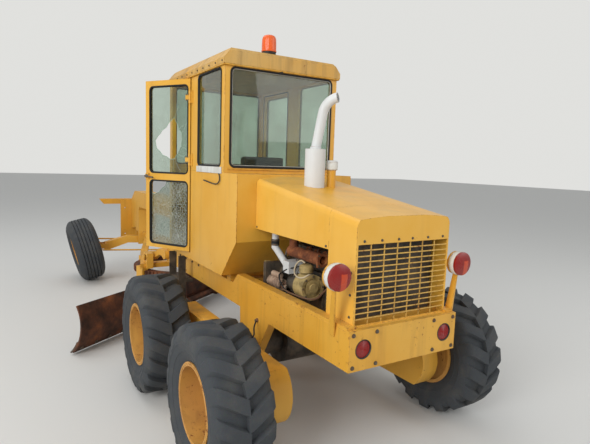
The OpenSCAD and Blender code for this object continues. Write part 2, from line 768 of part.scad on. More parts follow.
// Rain gutter and rusty ledge round the cab's upper part
module cab_ledges() {
    box([upper_x - 14, -cab_half_w + 20, eave_z - 14], [upper_x + 1, cab_half_w - 20, eave_z]);
    box([upper_x - 10, -window_half_w - 20, window_z - 26], [upper_x + 1, window_half_w + 20, window_z - 14]);
    for (side = [-1, 1])
        box([quarter_x - 20, side > 0 ? cab_half_w - 1 : -cab_half_w - 7, window_z - 34],
            [quarter_end_x + 20, side > 0 ? cab_half_w + 7 : -cab_half_w + 1, window_z - 22]);
}

module cross_pane(x) along_x(x, glass_t)
    rounded([-window_half_w + seat, window_z + seat], [window_half_w - seat, window_top_z - seat], corner_r - seat);

module cab_windows() color("#9FB4A8") place() {
    cross_pane(upper_x + 12);
    cross_pane(cab_front_x - 18);
    both_sides() along_y(cab_half_w - 18, glass_t)
        rounded([quarter_x + seat, window_z + seat], [quarter_end_x - seat, window_top_z - seat], corner_r - seat);
}

beacon_x = 1790;
beacon_y = 110;
module beacon() color("#E8641E") place() translate([beacon_x, beacon_y, eave_z + roof_h + 25]) {
    cylinder(r = 48, h = 85);
    translate([0, 0, 85]) scale([1, 1, 0.7]) sphere(r = 48);
}

// Driver's seat and controls
floor_z = cab_z + cab_wall;
seat_x = cab_front_x - 1140;
seat_z = floor_z + 375;
module seat_base() color(dark) place() {
    box([seat_x, -190, floor_z], [seat_x + 320, 190, seat_z - 20]);
    box([seat_x - 40, -220, seat_z - 20], [seat_x + 420, 220, seat_z]);
    box([seat_x - 40, -200, seat_z], [seat_x - 20, 200, seat_z + 560]);
}

module seat_cushions() color("#3A3A3C") place() {
    box([seat_x + 50, -235, seat_z + seat], [seat_x + 430, 235, seat_z + 110]);
    box([seat_x - 20 + seat, -225, seat_z + 60], [seat_x + 45, 225, seat_z + 640]);
}

wheel_tilt = 28;
dash_x = cab_front_x - 240;
dash_z = floor_z + 435;
module controls() color(dark) place() {
    box([dash_x, -110, floor_z], [cab_front_x - cab_wall, 110, dash_z]);
    box([dash_x + 20, -330, dash_z], [dash_x + 100, 330, dash_z + 80]);
    translate([dash_x + 25, 0, dash_z + 40]) rotate([0, -wheel_tilt, 0]) {
        cylinder(r = 32, h = 360);
        translate([0, 0, 360]) cylinder(r = 24, h = 34);
        translate([0, 0, 376]) rotate_extrude() translate([200, 0]) circle(r = 15, $fn = 24);
        for (a = [30, 150, 270])
            rotate([0, 0, a]) translate([0, -12, 366]) cube([198, 24, 12]);
    }
    for (y = [-290, -240, -190, -140, 140, 190, 240, 290])
        translate([dash_x + 60, y, dash_z + 70]) rotate([0, -12, 0]) {
            cylinder(r = 8, h = 210, $fn = 24);
            translate([0, 0, 210]) sphere(r = 18, $fn = 24);
        }
}

// Tandem cases, each on the axle housing's trunnion
front_stub_r = 45;
hub_r = 96;
module case_outline() intersection() {
    union() {
        for (x = [tandem_x - tandem_span / 2, tandem_x + tandem_span / 2])
            translate([x, tyre_r]) circle(r = case_end_r, $fn = 64);
        translate([tandem_x - tandem_span / 2, tyre_r - case_end_r]) square([tandem_span, 2 * case_end_r]);
    }
    translate([0, tyre_r - case_half_h]) square([overall_l, 2 * case_half_h]);
}

module tandem_case() color(yellow) place() difference() {
    union() {
        along_y(case_y, case_w) case_outline();
        bar_y(tandem_x, case_y, pivot_z, 150, 20);
        for (x = [tandem_x - tandem_span / 2, tandem_x + tandem_span / 2])
            bar_y(x, case_y + case_w - 1, tyre_r, 110, 9);
    }
    bar_y(tandem_x, case_y - 1, pivot_z, trunnion_r + fit, trunnion_l + 1 + seat);
    for (x = [tandem_x - tandem_span / 2, tandem_x + tandem_span / 2])
        bar_y(x, case_y + 60, tyre_r, front_stub_r + fit, case_w);
}
module tandem_case_left() tandem_case();
module tandem_case_right() mirror([0, 1, 0]) tandem_case();

// Wheels are drawn about their own axis along Y, outboard to +Y, and then placed
rim_t = 8;
module rim_shell() rotate([-90, 0, 0]) rotate_extrude($fn = 96) polygon([
    [rim_seat_r + rim_flange_h, -rim_w / 2], [rim_seat_r + rim_flange_h, -rim_w / 2 + rim_t],
    [rim_seat_r, -rim_w / 2 + rim_t], [rim_seat_r, rim_w / 2 - rim_t],
    [rim_seat_r + rim_flange_h, rim_w / 2 - rim_t], [rim_seat_r + rim_flange_h, rim_w / 2],
    [rim_seat_r - rim_t, rim_w / 2], [rim_seat_r - rim_t, -rim_w / 2]]);

// Dished disc: outer edge at the rim, flat bolt face round the hub
module rim_disc(edge_y, face_y) rotate([-90, 0, 0]) rotate_extrude($fn = 96) polygon([
    [rim_seat_r - rim_t + 1, edge_y], [rim_seat_r - rim_t + 1, edge_y + 10], [185, face_y + 10],
    [60, face_y + 10], [60, face_y], [185, face_y]]);

module wheel_bolts(face_y) for (i = [0:bolt_count - 1])
    rotate([0, i * 360 / bolt_count, 0]) bar_y(bolt_circle_r, face_y, 0, 13, 30);

// Rear rim: the hub reaches in to a stub that turns in the tandem case
hub_in = rear_wheel_y - case_y - case_w - 8 - seat;
module rear_rim() color(yellow) {
    rim_shell();
    rim_disc(-135, -120);
    wheel_bolts(-111);
    bar_y(0, -hub_in, 0, hub_r, hub_in - 90);
    bar_y(0, -hub_in - 90, 0, front_stub_r, 100);
}

// Rear tyre: a ring of faces whose tread steps up at each lug, slanted on either side
lug_cols = 4 * lug_count;
lug_skew = 12;
carcass_r = tyre_r - lug_h;
tyre_bore_r = (rim_seat_r + seat) / cos(180 / lug_cols);
bead_y = rim_w / 2 - rim_t - 1;
// Outline of the tyre from bead to bead: y, radius, share of the slant, is it tread
tyre_rows = [
    [-rim_w / 2 + rim_t + 12, tyre_bore_r, 1, 0],
    [-bead_y, rim_seat_r + rim_flange_h + 4, 1, 0],
    [-tyre_w / 2, 400, 1, 0],
    [-tyre_w / 2 + 22, carcass_r - 26, 1, 1],
    [-tyre_w / 2 + 48, carcass_r, 0.85, 1],
    [0, carcass_r, 0, 2],
    [tyre_w / 2 - 48, carcass_r, 0.85, 3],
    [tyre_w / 2 - 22, carcass_r - 26, 1, 3],
    [tyre_w / 2, 400, 1, 0],
    [bead_y, rim_seat_r + rim_flange_h + 4, 1, 0],
    [rim_w / 2 - rim_t - 12, tyre_bore_r, 1, 0]];

function raised(kind, col) =
    kind == 2 ? 1 :
    kind == 1 ? (col % 4 < 2 ? 1 : 0) :
    kind == 3 ? (col % 4 < 2 ? 0 : 1) : 0;

function tyre_point(row, col) =
    let (a = col * 360 / lug_cols + row[2] * lug_skew, r = row[1] + lug_h * raised(row[3], col))
    [r * sin(a), row[0], r * cos(a)];

module lugged_tyre() {
    rows = len(tyre_rows);
    points = [for (col = [0:lug_cols - 1]) for (row = tyre_rows) tyre_point(row, col)];
    faces = [for (col = [0:lug_cols - 1]) for (k = [0:rows - 1])
        let (a = col * rows + k, b = col * rows + (k + 1) % rows,
            c = ((col + 1) % lug_cols) * rows + (k + 1) % rows, d = ((col + 1) % lug_cols) * rows + k)
        each [[a, c, b], [a, d, c]]];
    polyhedron(points, faces);
}

// Front tyre: ribbed tread with round shoulders
module tyre_half_outline() difference() {
    union() {
        translate([rim_seat_r + seat, 0]) square([tyre_r - rim_seat_r - seat - 8, tread_half_w - shoulder_r]);
        translate([rim_seat_r + seat, 0]) square([90, rim_w / 2 - rim_t - 2]);
        translate([tyre_r - shoulder_r, tread_half_w - shoulder_r]) circle(r = shoulder_r);
        translate([390, 60]) circle(r = tyre_w / 2 - 60);
        translate([tyre_r - 20, 0]) square([20, tread_half_w - shoulder_r]);
    }
    translate([rim_seat_r - 10, rim_w / 2 - rim_t - 2]) square([rim_flange_h + 12, 60]);
    translate([0, -400]) square([800, 400]);
    translate([0, 0]) square([rim_seat_r + seat, 300]);
    for (y = [25, 75])
        translate([tyre_r - 16, y]) square([20, 14]);
    translate([tyre_r, 0]) square([80, 300]);
}

module plain_tyre() rotate([-90, 0, 0]) rotate_extrude($fn = 96) union() {
    tyre_half_outline();
    mirror([0, 1]) tyre_half_outline();
}

// Rear wheels: axle x, side
rear_wheels = [
    [tandem_x - tandem_span / 2, 1], [tandem_x + tandem_span / 2, 1],
    [tandem_x - tandem_span / 2, -1], [tandem_x + tandem_span / 2, -1]];

module on_side(side) if (side > 0) children(); else mirror([0, 1, 0]) children();

module at_rear_wheel(i) place() on_side(rear_wheels[i][1])
    translate([rear_wheels[i][0], rear_wheel_y, tyre_r]) children();

module rim_rear_1() at_rear_wheel(0) rear_rim();
module rim_rear_2() at_rear_wheel(1) rear_rim();
module rim_rear_3() at_rear_wheel(2) rear_rim();
module rim_rear_4() at_rear_wheel(3) rear_rim();
module tyre_rear_1() color(dark) at_rear_wheel(0) lugged_tyre();
module tyre_rear_2() color(dark) at_rear_wheel(1) lugged_tyre();
module tyre_rear_3() color(dark) at_rear_wheel(2) lugged_tyre();
module tyre_rear_4() color(dark) at_rear_wheel(3) lugged_tyre();

// Front axle: everything is drawn level, then rocked about its pin and leaned about its ends
module on_axle() place() translate([axle_x, 0, rock_z]) rotate([rock_deg, 0, 0])
    translate([0, 0, -rock_rise]) children();

module at_kingpin(side) on_axle() translate([0, side * kingpin_y, 0])
    rotate([lean_on_axle, 0, 0]) on_side(side) children();

cheek_in = 86;
cheek_t = 20;
cheek_r = 58;
lean_pin_r = 25;

module beam_outline() polygon([
    [-kingpin_y + 120, -60], [-kingpin_y + 120, 66], [-300, 190], [300, 190], [kingpin_y - 120, 66],
    [kingpin_y - 120, -60], [kingpin_y - 180, -60], [300, 66], [-300, 66], [-kingpin_y + 180, -60]]);

module front_axle() color(yellow) on_axle() {
    along_x(-beam_half_t, 2 * beam_half_t) beam_outline();
    both_sides() {
        box([-cheek_in - cheek_t, kingpin_y - 160, -55], [cheek_in + cheek_t, kingpin_y - 118, 55]);
        for (x = [-cheek_in - cheek_t, cheek_in])
            difference() {
                union() {
                    box([x, kingpin_y - 130, -36], [x + cheek_t, kingpin_y, 50]);
                    bar_x(x, kingpin_y, 0, cheek_r, cheek_t);
                }
                bar_x(x - 1, kingpin_y, 0, lean_pin_r + fit, cheek_t + 2);
            }
    }
    bar_x(-head_w / 2 + 2, 0, rock_rise, rock_pin_r, head_w + 4);
}

// Lean bracket: kingpin barrel between the axle's cheeks, with an arm up in front
barrel_r = 62;
barrel_half_h = 70;
kingpin_r = 22;
arm_x = 112;
arm_t = 14;
lean_stub_r = 12;
module lean_bracket() color(yellow) difference() {
    union() {
        translate([0, 0, -barrel_half_h]) cylinder(r = barrel_r, h = 2 * barrel_half_h);
        bar_x(-cheek_in - cheek_t - 2, 0, 0, lean_pin_r, cheek_in + cheek_t + 2 + arm_x + arm_t);
        bar_x(arm_x, 0, 0, 40, arm_t);
        box([arm_x, -28, 0], [arm_x + arm_t, 28, lean_arm]);
        bar_x(arm_x, 0, lean_arm, 28, arm_t);
        bar_x(arm_x, 0, lean_arm, lean_stub_r, arm_t + 28);
    }
    translate([0, 0, -barrel_half_h - 1]) cylinder(r = kingpin_r, h = 2 * barrel_half_h + 2);
}
module lean_bracket_left() at_kingpin(1) lean_bracket();
module lean_bracket_right() at_kingpin(-1) lean_bracket();

// Bar between the two lean brackets, parallel to the axle
bar_centre_x = arm_x + arm_t + 13;
lean_pin_y = -lean_arm * sin(lean_on_axle);
lean_pin_z = lean_arm * cos(lean_on_axle);
module lean_bar() color(yellow) on_axle() translate([bar_centre_x, lean_pin_y, lean_pin_z]) difference() {
    union() {
        bar_y(0, -kingpin_y + 20, 0, 13, 2 * kingpin_y - 40);
        for (side = [-1, 1])
            bar_x(-10, side * kingpin_y, 0, 26, 20);
    }
    for (side = [-1, 1])
        bar_x(-11, side * kingpin_y, 0, lean_stub_r + fit, 22);
}

// Knuckle: two ears round the lean bracket's barrel, a spindle outboard, an arm to the rear
ear_z = barrel_half_h + 4;
ear_t = 22;
spindle_r = 35;
ball_stud_r = 10;
tie_ball_r = 18;
tie_z = -46;
back_y = 84;

module knuckle_body(stud_hole) difference() {
    union() {
        for (z = [-ear_z - ear_t, ear_z]) {
            translate([0, 0, z]) cylinder(r = 38, h = ear_t);
            box([-38, 0, z], [38, back_y + 26, z + ear_t]);
        }
        box([-38, back_y, -ear_z - ear_t], [38, back_y + 26, ear_z + ear_t]);
        translate([0, 0, -ear_z - ear_t]) cylinder(r = kingpin_r - fit, h = 2 * (ear_z + ear_t));
        bar_y(0, back_y + 20, 0, 48, 40);
        bar_y(0, back_y + 20, 0, spindle_r, 176);
        box([-steer_arm, -20, -ear_z - ear_t], [0, 20, -ear_z - 3]);
        translate([-steer_arm, 0, -ear_z - ear_t]) cylinder(r = 26, h = ear_t - 3);
    }
    if (stud_hole)
        translate([-steer_arm, 0, -ear_z - ear_t - 1]) cylinder(r = ball_stud_r + fit, h = ear_t + 2);
}

module tie_ball() {
    translate([-steer_arm, 0, tie_z]) sphere(r = tie_ball_r);
    translate([-steer_arm, 0, -ear_z - ear_t - 2]) cylinder(r = ball_stud_r, h = ear_z + ear_t + 2 + tie_z);
}

module knuckle_left() color(yellow) at_kingpin(1) knuckle_body(true);
module knuckle_right() color(yellow) at_kingpin(-1) {
    knuckle_body(false);
    tie_ball();
}

module ball_stud() color(steel) at_kingpin(1) {
    tie_ball();
    translate([-steer_arm, 0, -ear_z - ear_t - 14 - seat]) cylinder(r = 17, h = 14);
}

// Tie rod with a cup over each ball, open below for the stud
tie_cup_r = 28;
tie_rod_r = 13;
module tie_rod() color(yellow) on_axle()
    translate([-steer_arm, -tie_z * sin(lean_on_axle), tie_z * cos(lean_on_axle)]) difference() {
        union() {
            bar_y(0, -kingpin_y + 22, 0, tie_rod_r, 2 * kingpin_y - 44);
            for (side = [-1, 1])
                translate([0, side * kingpin_y, 0]) sphere(r = tie_cup_r);
        }
        for (side = [-1, 1]) {
            translate([0, side * kingpin_y, 0]) sphere(r = tie_ball_r + fit);
            translate([-40, side * kingpin_y - 60, -60]) cube([80, 120, 53]);
        }
    }

// Front rims: hub on the spindle, disc towards the outside
module front_rim() color(yellow) difference() {
    union() {
        rim_shell();
        rim_disc(60, 45);
        wheel_bolts(54);
        bar_y(0, -45, 0, 82, 100);
        bar_y(0, 45, 0, 58, 55);
    }
    bar_y(0, -46, 0, spindle_r + fit, 140);
}
module at_front_wheel(side) at_kingpin(side) translate([0, wheel_offset, 0]) children();
module rim_front_left() at_front_wheel(1) front_rim();
module rim_front_right() at_front_wheel(-1) front_rim();
module tyre_front_left() color(dark) at_front_wheel(1) plain_tyre();
module tyre_front_right() color(dark) at_front_wheel(-1) plain_tyre();

// Doors are drawn closed on the left, then turned about their hinge and mirrored
door_w = door_open_w - 2 * door_gap;
leaf_x = door_x + door_gap;
door_low = door_z + door_gap;
door_high = door_top_z - door_gap;
glass_low = door_low + 45;
glass_high = door_high - 60;
hinge_side_w = 30;
// Lower and upper edge of each pane
pane_spans = [[glass_low, mid_rail_z], [mid_rail_z + mid_rail_h, glass_high]];

module door_body() difference() {
    union() {
        box([leaf_x, cab_half_w - door_t, door_low], [leaf_x + door_w, cab_half_w, door_high]);
        for (z = [hinge_zs[1] + 60, hinge_zs[2]]) {
            translate([hinge_x, hinge_y, z - 26]) cylinder(r = knuckle_r, h = 52);
            box([hinge_x + 4, cab_half_w - 1, z - 26], [hinge_x + 60, hinge_y - 4, z + 26]);
        }
        // Latch case on the middle rail
        box([leaf_x + door_w - 50, cab_half_w - 1, mid_rail_z + 10],
            [leaf_x + door_w - 6, cab_half_w + 16, mid_rail_z + 70]);
    }
    for (span = pane_spans)
        along_y(cab_half_w - door_t - 1, door_t + 2)
            rounded([leaf_x + hinge_side_w, span[0]], [leaf_x + door_w - stile_w, span[1]], corner_r);
    for (z = [hinge_zs[1] + 60, hinge_zs[2]]) {
        translate([hinge_x, hinge_y, z - 61]) cylinder(r = hinge_pin_r + fit, h = 122);
        translate([hinge_x, hinge_y, z - 62]) cylinder(r = knuckle_r + 4, h = 35);
        translate([hinge_x, hinge_y, z + 27]) cylinder(r = knuckle_r + 4, h = 35);
    }
}

module door_panes() for (span = pane_spans)
    along_y(cab_half_w - 24, glass_t) rounded([leaf_x + hinge_side_w + seat, span[0] + seat],
        [leaf_x + door_w - stile_w - seat, span[1] - seat], corner_r - seat);

module swung(degrees) place() translate([hinge_x, hinge_y, 0]) rotate([0, 0, degrees])
    translate([-hinge_x, -hinge_y, 0]) children();

module door_left() color(yellow) swung(door_deg) door_body();
module door_right() color(yellow) mirror([0, 1, 0]) swung(0) door_body();
module door_glass_left() color("#9FB4A8") swung(door_deg) door_panes();
module door_glass_right() color("#9FB4A8") mirror([0, 1, 0]) swung(0) door_panes();

// Drawbar: two beams from the ball to the circle, joined by plates over its ring
draw_z = circle_z + circle_h + 30;
draw_h = 60;
cross_half_l = 60;
lift_x = rail_end_x - lift_back;
pin_x = lift_x + lift_reach;
rear_shoe_deg = acos((pin_x - circle_x) / circle_r);
front_shoe_deg = 40;
front_shoe_x = circle_x + circle_r * cos(front_shoe_deg);
front_shoe_y = circle_r * sin(front_shoe_deg);

module draw_beam() polygon([
    [ball_x - 60, 10], [ball_x - 60, 75], [front_shoe_x, front_shoe_y + 50], [pin_x - cross_half_l, 700],
    [pin_x - cross_half_l, 600], [front_shoe_x, front_shoe_y - 50], [ball_x - 160, 10]]);

module circle_shoe(a) translate([circle_x, 0, 0]) rotate([0, 0, a]) {
    box([circle_r + 6, -70, circle_z - 30], [circle_r + 36, 70, draw_z + 20]);
    box([circle_r - 45, -70, circle_z + circle_h + seat], [circle_r + 36, 70, draw_z + 20]);
    box([circle_r - 35, -70, circle_z - 30], [circle_r + 36, 70, circle_z - seat]);
}

// Slot in the drawbar's side bracket: how far the pin moves back, forward, and up or down
slot_back = 56;
slot_fore = 11;
slot_half_h = lift_pin_r + 12;
bracket_in = 545;
bracket_w = 80;

module lift_slot() hull()
    for (dx = [-slot_back + 12, slot_fore - 12 + 12])
        translate([pin_x + dx, 0, lift_pin_z]) rotate([90, 0, 0])
            cylinder(r = slot_half_h, h = 4 * bracket_in, center = true);

module drawbar() color(yellow) place() {
    translate([0, 0, draw_z]) linear_extrude(draw_h) union() {
        draw_beam();
        mirror([0, 1]) draw_beam();
        translate([front_shoe_x - 55, -front_shoe_y]) square([110, 2 * front_shoe_y]);
        translate([pin_x - cross_half_l, -650]) square([2 * cross_half_l, 1300]);
    }
    translate([ball_x, 0, ball_z]) sphere(r = ball_r);
    bar_x(ball_x - 110, 0, ball_z - 8, 34, 90);
    for (side = [-1, 1]) {
        circle_shoe(side * rear_shoe_deg);
        circle_shoe(side * front_shoe_deg);
    }
    // Housing of the circle's drive
    translate([front_shoe_x, 0, draw_z + draw_h - 1]) cylinder(r = 85, h = 150);
    translate([front_shoe_x, 0, draw_z + draw_h + 140]) cylinder(r = 55, h = 90);
    difference() {
        both_sides() box([pin_x - 108, bracket_in, draw_z], [pin_x + 70, bracket_in + bracket_w, lift_pin_z + 62]);
        lift_slot();
    }
}

// Circle: toothed ring with two hangers that hold the blade's slide rails
tooth_h = 20;
arm_y = 480;
hanger_t = 60;
rail_in = -165;
rail_zs = [180, 420];
rail_half_h = 25;
// The saddle bars end inside the shoes' lower lips
saddle_half_l = sqrt(pow(circle_r - 48, 2) - pow(arm_y + 45, 2));

module on_circle() place() translate([circle_x, 0, 0]) rotate([0, 0, blade_deg]) children();

module toothed_disc() {
    pitch = 360 / tooth_count;
    polygon([for (i = [0:tooth_count - 1]) for (p = [[0, 0], [0.3, 0], [0.42, 1], [0.78, 1], [0.9, 0]])
        let (a = (i + p[0]) * pitch, r = circle_r - tooth_h + p[1] * tooth_h) [r * cos(a), r * sin(a)]]);
}

module hanger_outline() difference() {
    polygon([[-330, circle_z], [-120, circle_z], [-120, 120], [-230, 120], [-330, 300]]);
    for (z = rail_zs)
        translate([rail_in - 0.5, z - rail_half_h - 0.5]) square([200, 2 * rail_half_h + 1]);
}

module blade_circle() color(yellow) on_circle() {
    translate([0, 0, circle_z]) linear_extrude(circle_h) difference() {
        toothed_disc();
        circle(r = circle_r - tooth_h - circle_w, $fn = 96);
    }
    for (side = [-1, 1])
        along_y(side * arm_y - hanger_t / 2, hanger_t) hanger_outline();
    // Saddle bars under the ring, which carry the hangers
    for (side = [-1, 1])
        box([-saddle_half_l, side * arm_y - 45, circle_z - 28], [saddle_half_l, side * arm_y + 45, circle_z]);
    box([-330, -arm_y, 470], [-300, arm_y, 540]);
}

// Blade: part of a hollow cylinder with two slide rails behind
blade_arc_x = 330;
module arc_band(outer, inner, from, to) intersection() {
    difference() {
        circle(r = outer, $fn = 128);
        circle(r = inner, $fn = 128);
    }
    polygon([[0, 0], [-900 * cos(from), 900 * sin(from)], [-900, 900 * sin((from + to) / 2)],
        [-900 * cos(to), 900 * sin(to)]]);
}

module mouldboard() color(rust) on_circle() {
    along_y(-blade_l / 2, blade_l) translate([blade_arc_x, blade_arc_z])
        arc_band(blade_r + blade_t, blade_r, 30, -44);
    along_y(-1200, 2400) translate([rail_in, rail_zs[0] - rail_half_h]) square([88, 2 * rail_half_h]);
    along_y(-1200, 2400) translate([rail_in, rail_zs[1] - rail_half_h]) square([70, 2 * rail_half_h]);
}

module cutting_edge() color(steel) on_circle()
    along_y(-blade_l / 2, blade_l) translate([blade_arc_x, blade_arc_z])
        arc_band(blade_r - seat, blade_r - 16, -26, -48);

// Lift arm: an arched plate beside the rail, with a shaft in the rail and a pin in the drawbar's slot
lift_hub_r = 60;
lift_shaft_r = 30;
arm_in = rail_half_w + 5;

module lift_arm_outline() union() {
    translate([lift_x, lift_z]) circle(r = lift_hub_r);
    translate([pin_x, lift_pin_z]) circle(r = lift_pin_r + 16);
    polygon([
        [lift_x - 40, lift_z + 44], [lift_x + 90, lift_z + 66], [lift_x + 230, lift_z + 36],
        [pin_x - 60, lift_pin_z + 66], [pin_x + 24, lift_pin_z + 29], [pin_x - 22, lift_pin_z - 30],
        [pin_x - 110, lift_pin_z + 14], [lift_x + 210, lift_z - 40], [lift_x + 110, lift_z - 30],
        [lift_x + 20, lift_z - 56]]);
}

module lift_arm() place() {
    along_y(arm_in, lift_arm_t) lift_arm_outline();
    bar_y(lift_x, rail_inner - 15, lift_z, lift_shaft_r, arm_in - rail_inner + 20);
    bar_y(pin_x, arm_in + 5, lift_pin_z, lift_pin_r, bracket_in + bracket_w + 18 - arm_in);
    bar_y(pin_x, bracket_in + bracket_w + 8, lift_pin_z, lift_pin_r + 14, 15);
}
module lift_arm_left() color(yellow) lift_arm();
module lift_arm_right() color(yellow) mirror([0, 1, 0]) lift_arm();

// Steps below both doors
step_x = door_x + 180;
step_w = 320;
step_zs = [540, 800];
module steps() color(dark) place() both_sides() {
    for (z = step_zs)
        box([step_x, 480, z], [step_x + step_w, 640, z + 24]);
    for (x = [step_x, step_x + step_w - 10])
        box([x, 560, step_zs[0]], [x + 10, 640, cab_z]);
}

frame_rails();
axle_housing();
gooseneck();
radiator_cowl();
grille();
radiator_core();
hood();
engine_block();
exhaust_manifold();
engine_filters();
engine_fan();
engine_feet();
starter();
intake_pipe();
muffler();
pre_cleaner();
lamp_posts();
lamp_lenses();
cab_lower();
cab_frame();
cab_roof();
cab_windows();
beacon();
seat_base();
seat_cushions();
controls();
tandem_case_left();
tandem_case_right();
rim_rear_1();
rim_rear_2();
rim_rear_3();
rim_rear_4();
tyre_rear_1();
tyre_rear_2();
tyre_rear_3();
tyre_rear_4();
front_axle();
lean_bracket_left();
lean_bracket_right();
lean_bar();
knuckle_left();
knuckle_right();
ball_stud();
tie_rod();
rim_front_left();
rim_front_right();
tyre_front_left();
tyre_front_right();
door_left();
door_right();
door_glass_left();
door_glass_right();
drawbar();
blade_circle();
mouldboard();
cutting_edge();
lift_arm_left();
lift_arm_right();
steps();
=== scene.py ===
import bpy
import bmesh
import json
import math
import random
from mathutils import Matrix, Vector
from mathutils.bvhtree import BVHTree


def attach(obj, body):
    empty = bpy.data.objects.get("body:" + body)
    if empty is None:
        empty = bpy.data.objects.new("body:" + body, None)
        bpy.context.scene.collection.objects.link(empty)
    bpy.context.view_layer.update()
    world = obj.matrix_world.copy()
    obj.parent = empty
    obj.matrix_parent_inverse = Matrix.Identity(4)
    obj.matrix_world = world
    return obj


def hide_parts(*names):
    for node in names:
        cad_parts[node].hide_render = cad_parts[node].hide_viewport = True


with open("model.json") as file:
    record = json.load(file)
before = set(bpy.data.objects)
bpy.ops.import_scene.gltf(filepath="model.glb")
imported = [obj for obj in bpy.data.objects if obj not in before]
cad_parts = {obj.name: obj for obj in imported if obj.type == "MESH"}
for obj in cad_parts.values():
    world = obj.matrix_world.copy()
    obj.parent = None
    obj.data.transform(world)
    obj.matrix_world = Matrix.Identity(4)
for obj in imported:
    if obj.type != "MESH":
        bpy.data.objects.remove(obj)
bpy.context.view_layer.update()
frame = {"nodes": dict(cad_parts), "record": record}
nodes = frame["nodes"]
scene = bpy.context.scene
print("frame loaded:", len(nodes), "nodes")

# All places below are millimetres from the rear bumper's face, as in the source
shiftX = -3.58


def place(x, y, z):
    return Vector((x / 1000 + shiftX, y / 1000, z / 1000))


# Camera, at the photograph's angle

cameraSettings = {
    "place": (-2210, 2229, 2080),
    "yaw": 31.521,      # degrees to the right of straight ahead
    "down": 6.778,
    "roll": 1.894,
    "lens": 29.66,
}


def linkObject(name, data):
    made = bpy.data.objects.new(name, data)
    scene.collection.objects.link(made)
    return made


def makeCamera(settings):
    data = bpy.data.cameras.new("camera")
    data.lens = settings["lens"]
    data.sensor_width = 36
    data.clip_end = 200
    camera = linkObject("camera", data)
    yaw, down, roll = (math.radians(settings[k]) for k in ("yaw", "down", "roll"))
    ahead = Vector((math.cos(yaw), -math.sin(yaw), 0))
    side = Vector((-math.sin(yaw), -math.cos(yaw), 0))
    top = Vector((0, 0, 1))
    look = ahead * math.cos(down) - top * math.sin(down)
    over = top * math.cos(down) + ahead * math.sin(down)
    right = side * math.cos(roll) + over * math.sin(roll)
    up = over * math.cos(roll) - side * math.sin(roll)
    turn = Matrix((right, up, -look)).transposed().to_4x4()
    camera.matrix_world = Matrix.Translation(place(*settings["place"])) @ turn
    scene.camera = camera


makeCamera(cameraSettings)
scene.view_settings.view_transform = "Standard"


# Light and floor

stageSettings = {
    "floor": "#D9D8D4",
    "floorSize": 60,
    # Colour and strength of the sky, as light and as what the camera sees
    "sky": ("#EEF1F4", 0.55),
    "seenSky": ("#E9E9E6", 0.92),
    # Name, place in metres, width in metres, watts
    "lamps": [("keyLamp", (-7, 10, 6), 6, 900), ("fillLamp", (-9, -7, 6), 7, 260),
              ("topLamp", (3, 3, 12), 9, 330)],
}


# Opaque linear colour from sRGB hex
def toLinear(text):
    parts = [int(text[i:i + 2], 16) / 255 for i in (1, 3, 5)]
    return [c / 12.92 if c <= 0.04045 else ((c + 0.055) / 1.055) ** 2.4 for c in parts] + [1.0]


# Where an input is given a node, it takes that node's first output in use
def addNode(tree, kind, inputs=None, **settings):
    node = tree.nodes.new(kind)
    for name, value in settings.items():
        setattr(node, name, value)
    for key, value in (inputs or {}).items():
        if isinstance(value, bpy.types.Node):
            value = next(socket for socket in value.outputs if socket.enabled)
        if isinstance(value, bpy.types.NodeSocket):
            tree.links.new(value, node.inputs[key])
        else:
            node.inputs[key].default_value = value
    return node


def startMaterial(name):
    material = bpy.data.materials.new(name)
    material.use_nodes = True
    tree = material.node_tree
    tree.nodes.clear()
    return tree, addNode(tree, "ShaderNodeTexCoord").outputs["Object"]


def endMaterial(name, shader):
    material = bpy.data.materials[name]
    addNode(material.node_tree, "ShaderNodeOutputMaterial", {"Surface": shader})
    return material


def makeStage(settings):
    size = settings["floorSize"]
    mesh = bpy.data.meshes.new("floor")
    corners = [(-size, -size, 0), (size, -size, 0), (size, size, 0), (-size, size, 0)]
    mesh.from_pydata(corners, [], [(0, 1, 2, 3)])
    floor = linkObject("floor", mesh)
    tree = startMaterial("paintedStudioFloor")[0]
    shader = addNode(tree, "ShaderNodeBsdfPrincipled",
                     {"Base Color": toLinear(settings["floor"]), "Roughness": 0.85})
    mesh.materials.append(endMaterial("paintedStudioFloor", shader))
    world = bpy.data.worlds.new("studioSky")
    scene.world = world
    world.use_nodes = True
    tree = world.node_tree
    tree.nodes.clear()
    skies = []
    for colour, strength in (settings["sky"], settings["seenSky"]):
        skies.append(addNode(tree, "ShaderNodeBackground",
                             {"Color": toLinear(colour), "Strength": strength}))
    path = addNode(tree, "ShaderNodeLightPath")
    rays = addNode(tree, "ShaderNodeMath",
                   {0: path.outputs["Is Camera Ray"], 1: path.outputs["Is Glossy Ray"]},
                   operation="MAXIMUM")
    rays = addNode(tree, "ShaderNodeMath",
                   {0: rays, 1: path.outputs["Is Transmission Ray"]}, operation="MAXIMUM")
    both = addNode(tree, "ShaderNodeMixShader", {0: rays, 1: skies[0], 2: skies[1]})
    addNode(tree, "ShaderNodeOutputWorld", {"Surface": both})
    for name, spot, width, power in settings["lamps"]:
        data = bpy.data.lights.new(name, "AREA")
        data.size = width
        data.energy = power
        lamp = linkObject(name, data)
        lamp.location = spot
        lamp.rotation_euler = (Vector((0, 0, 1.2)) - Vector(spot)).to_track_quat("-Z", "Y").to_euler()


makeStage(stageSettings)
print("stage made")


# Materials

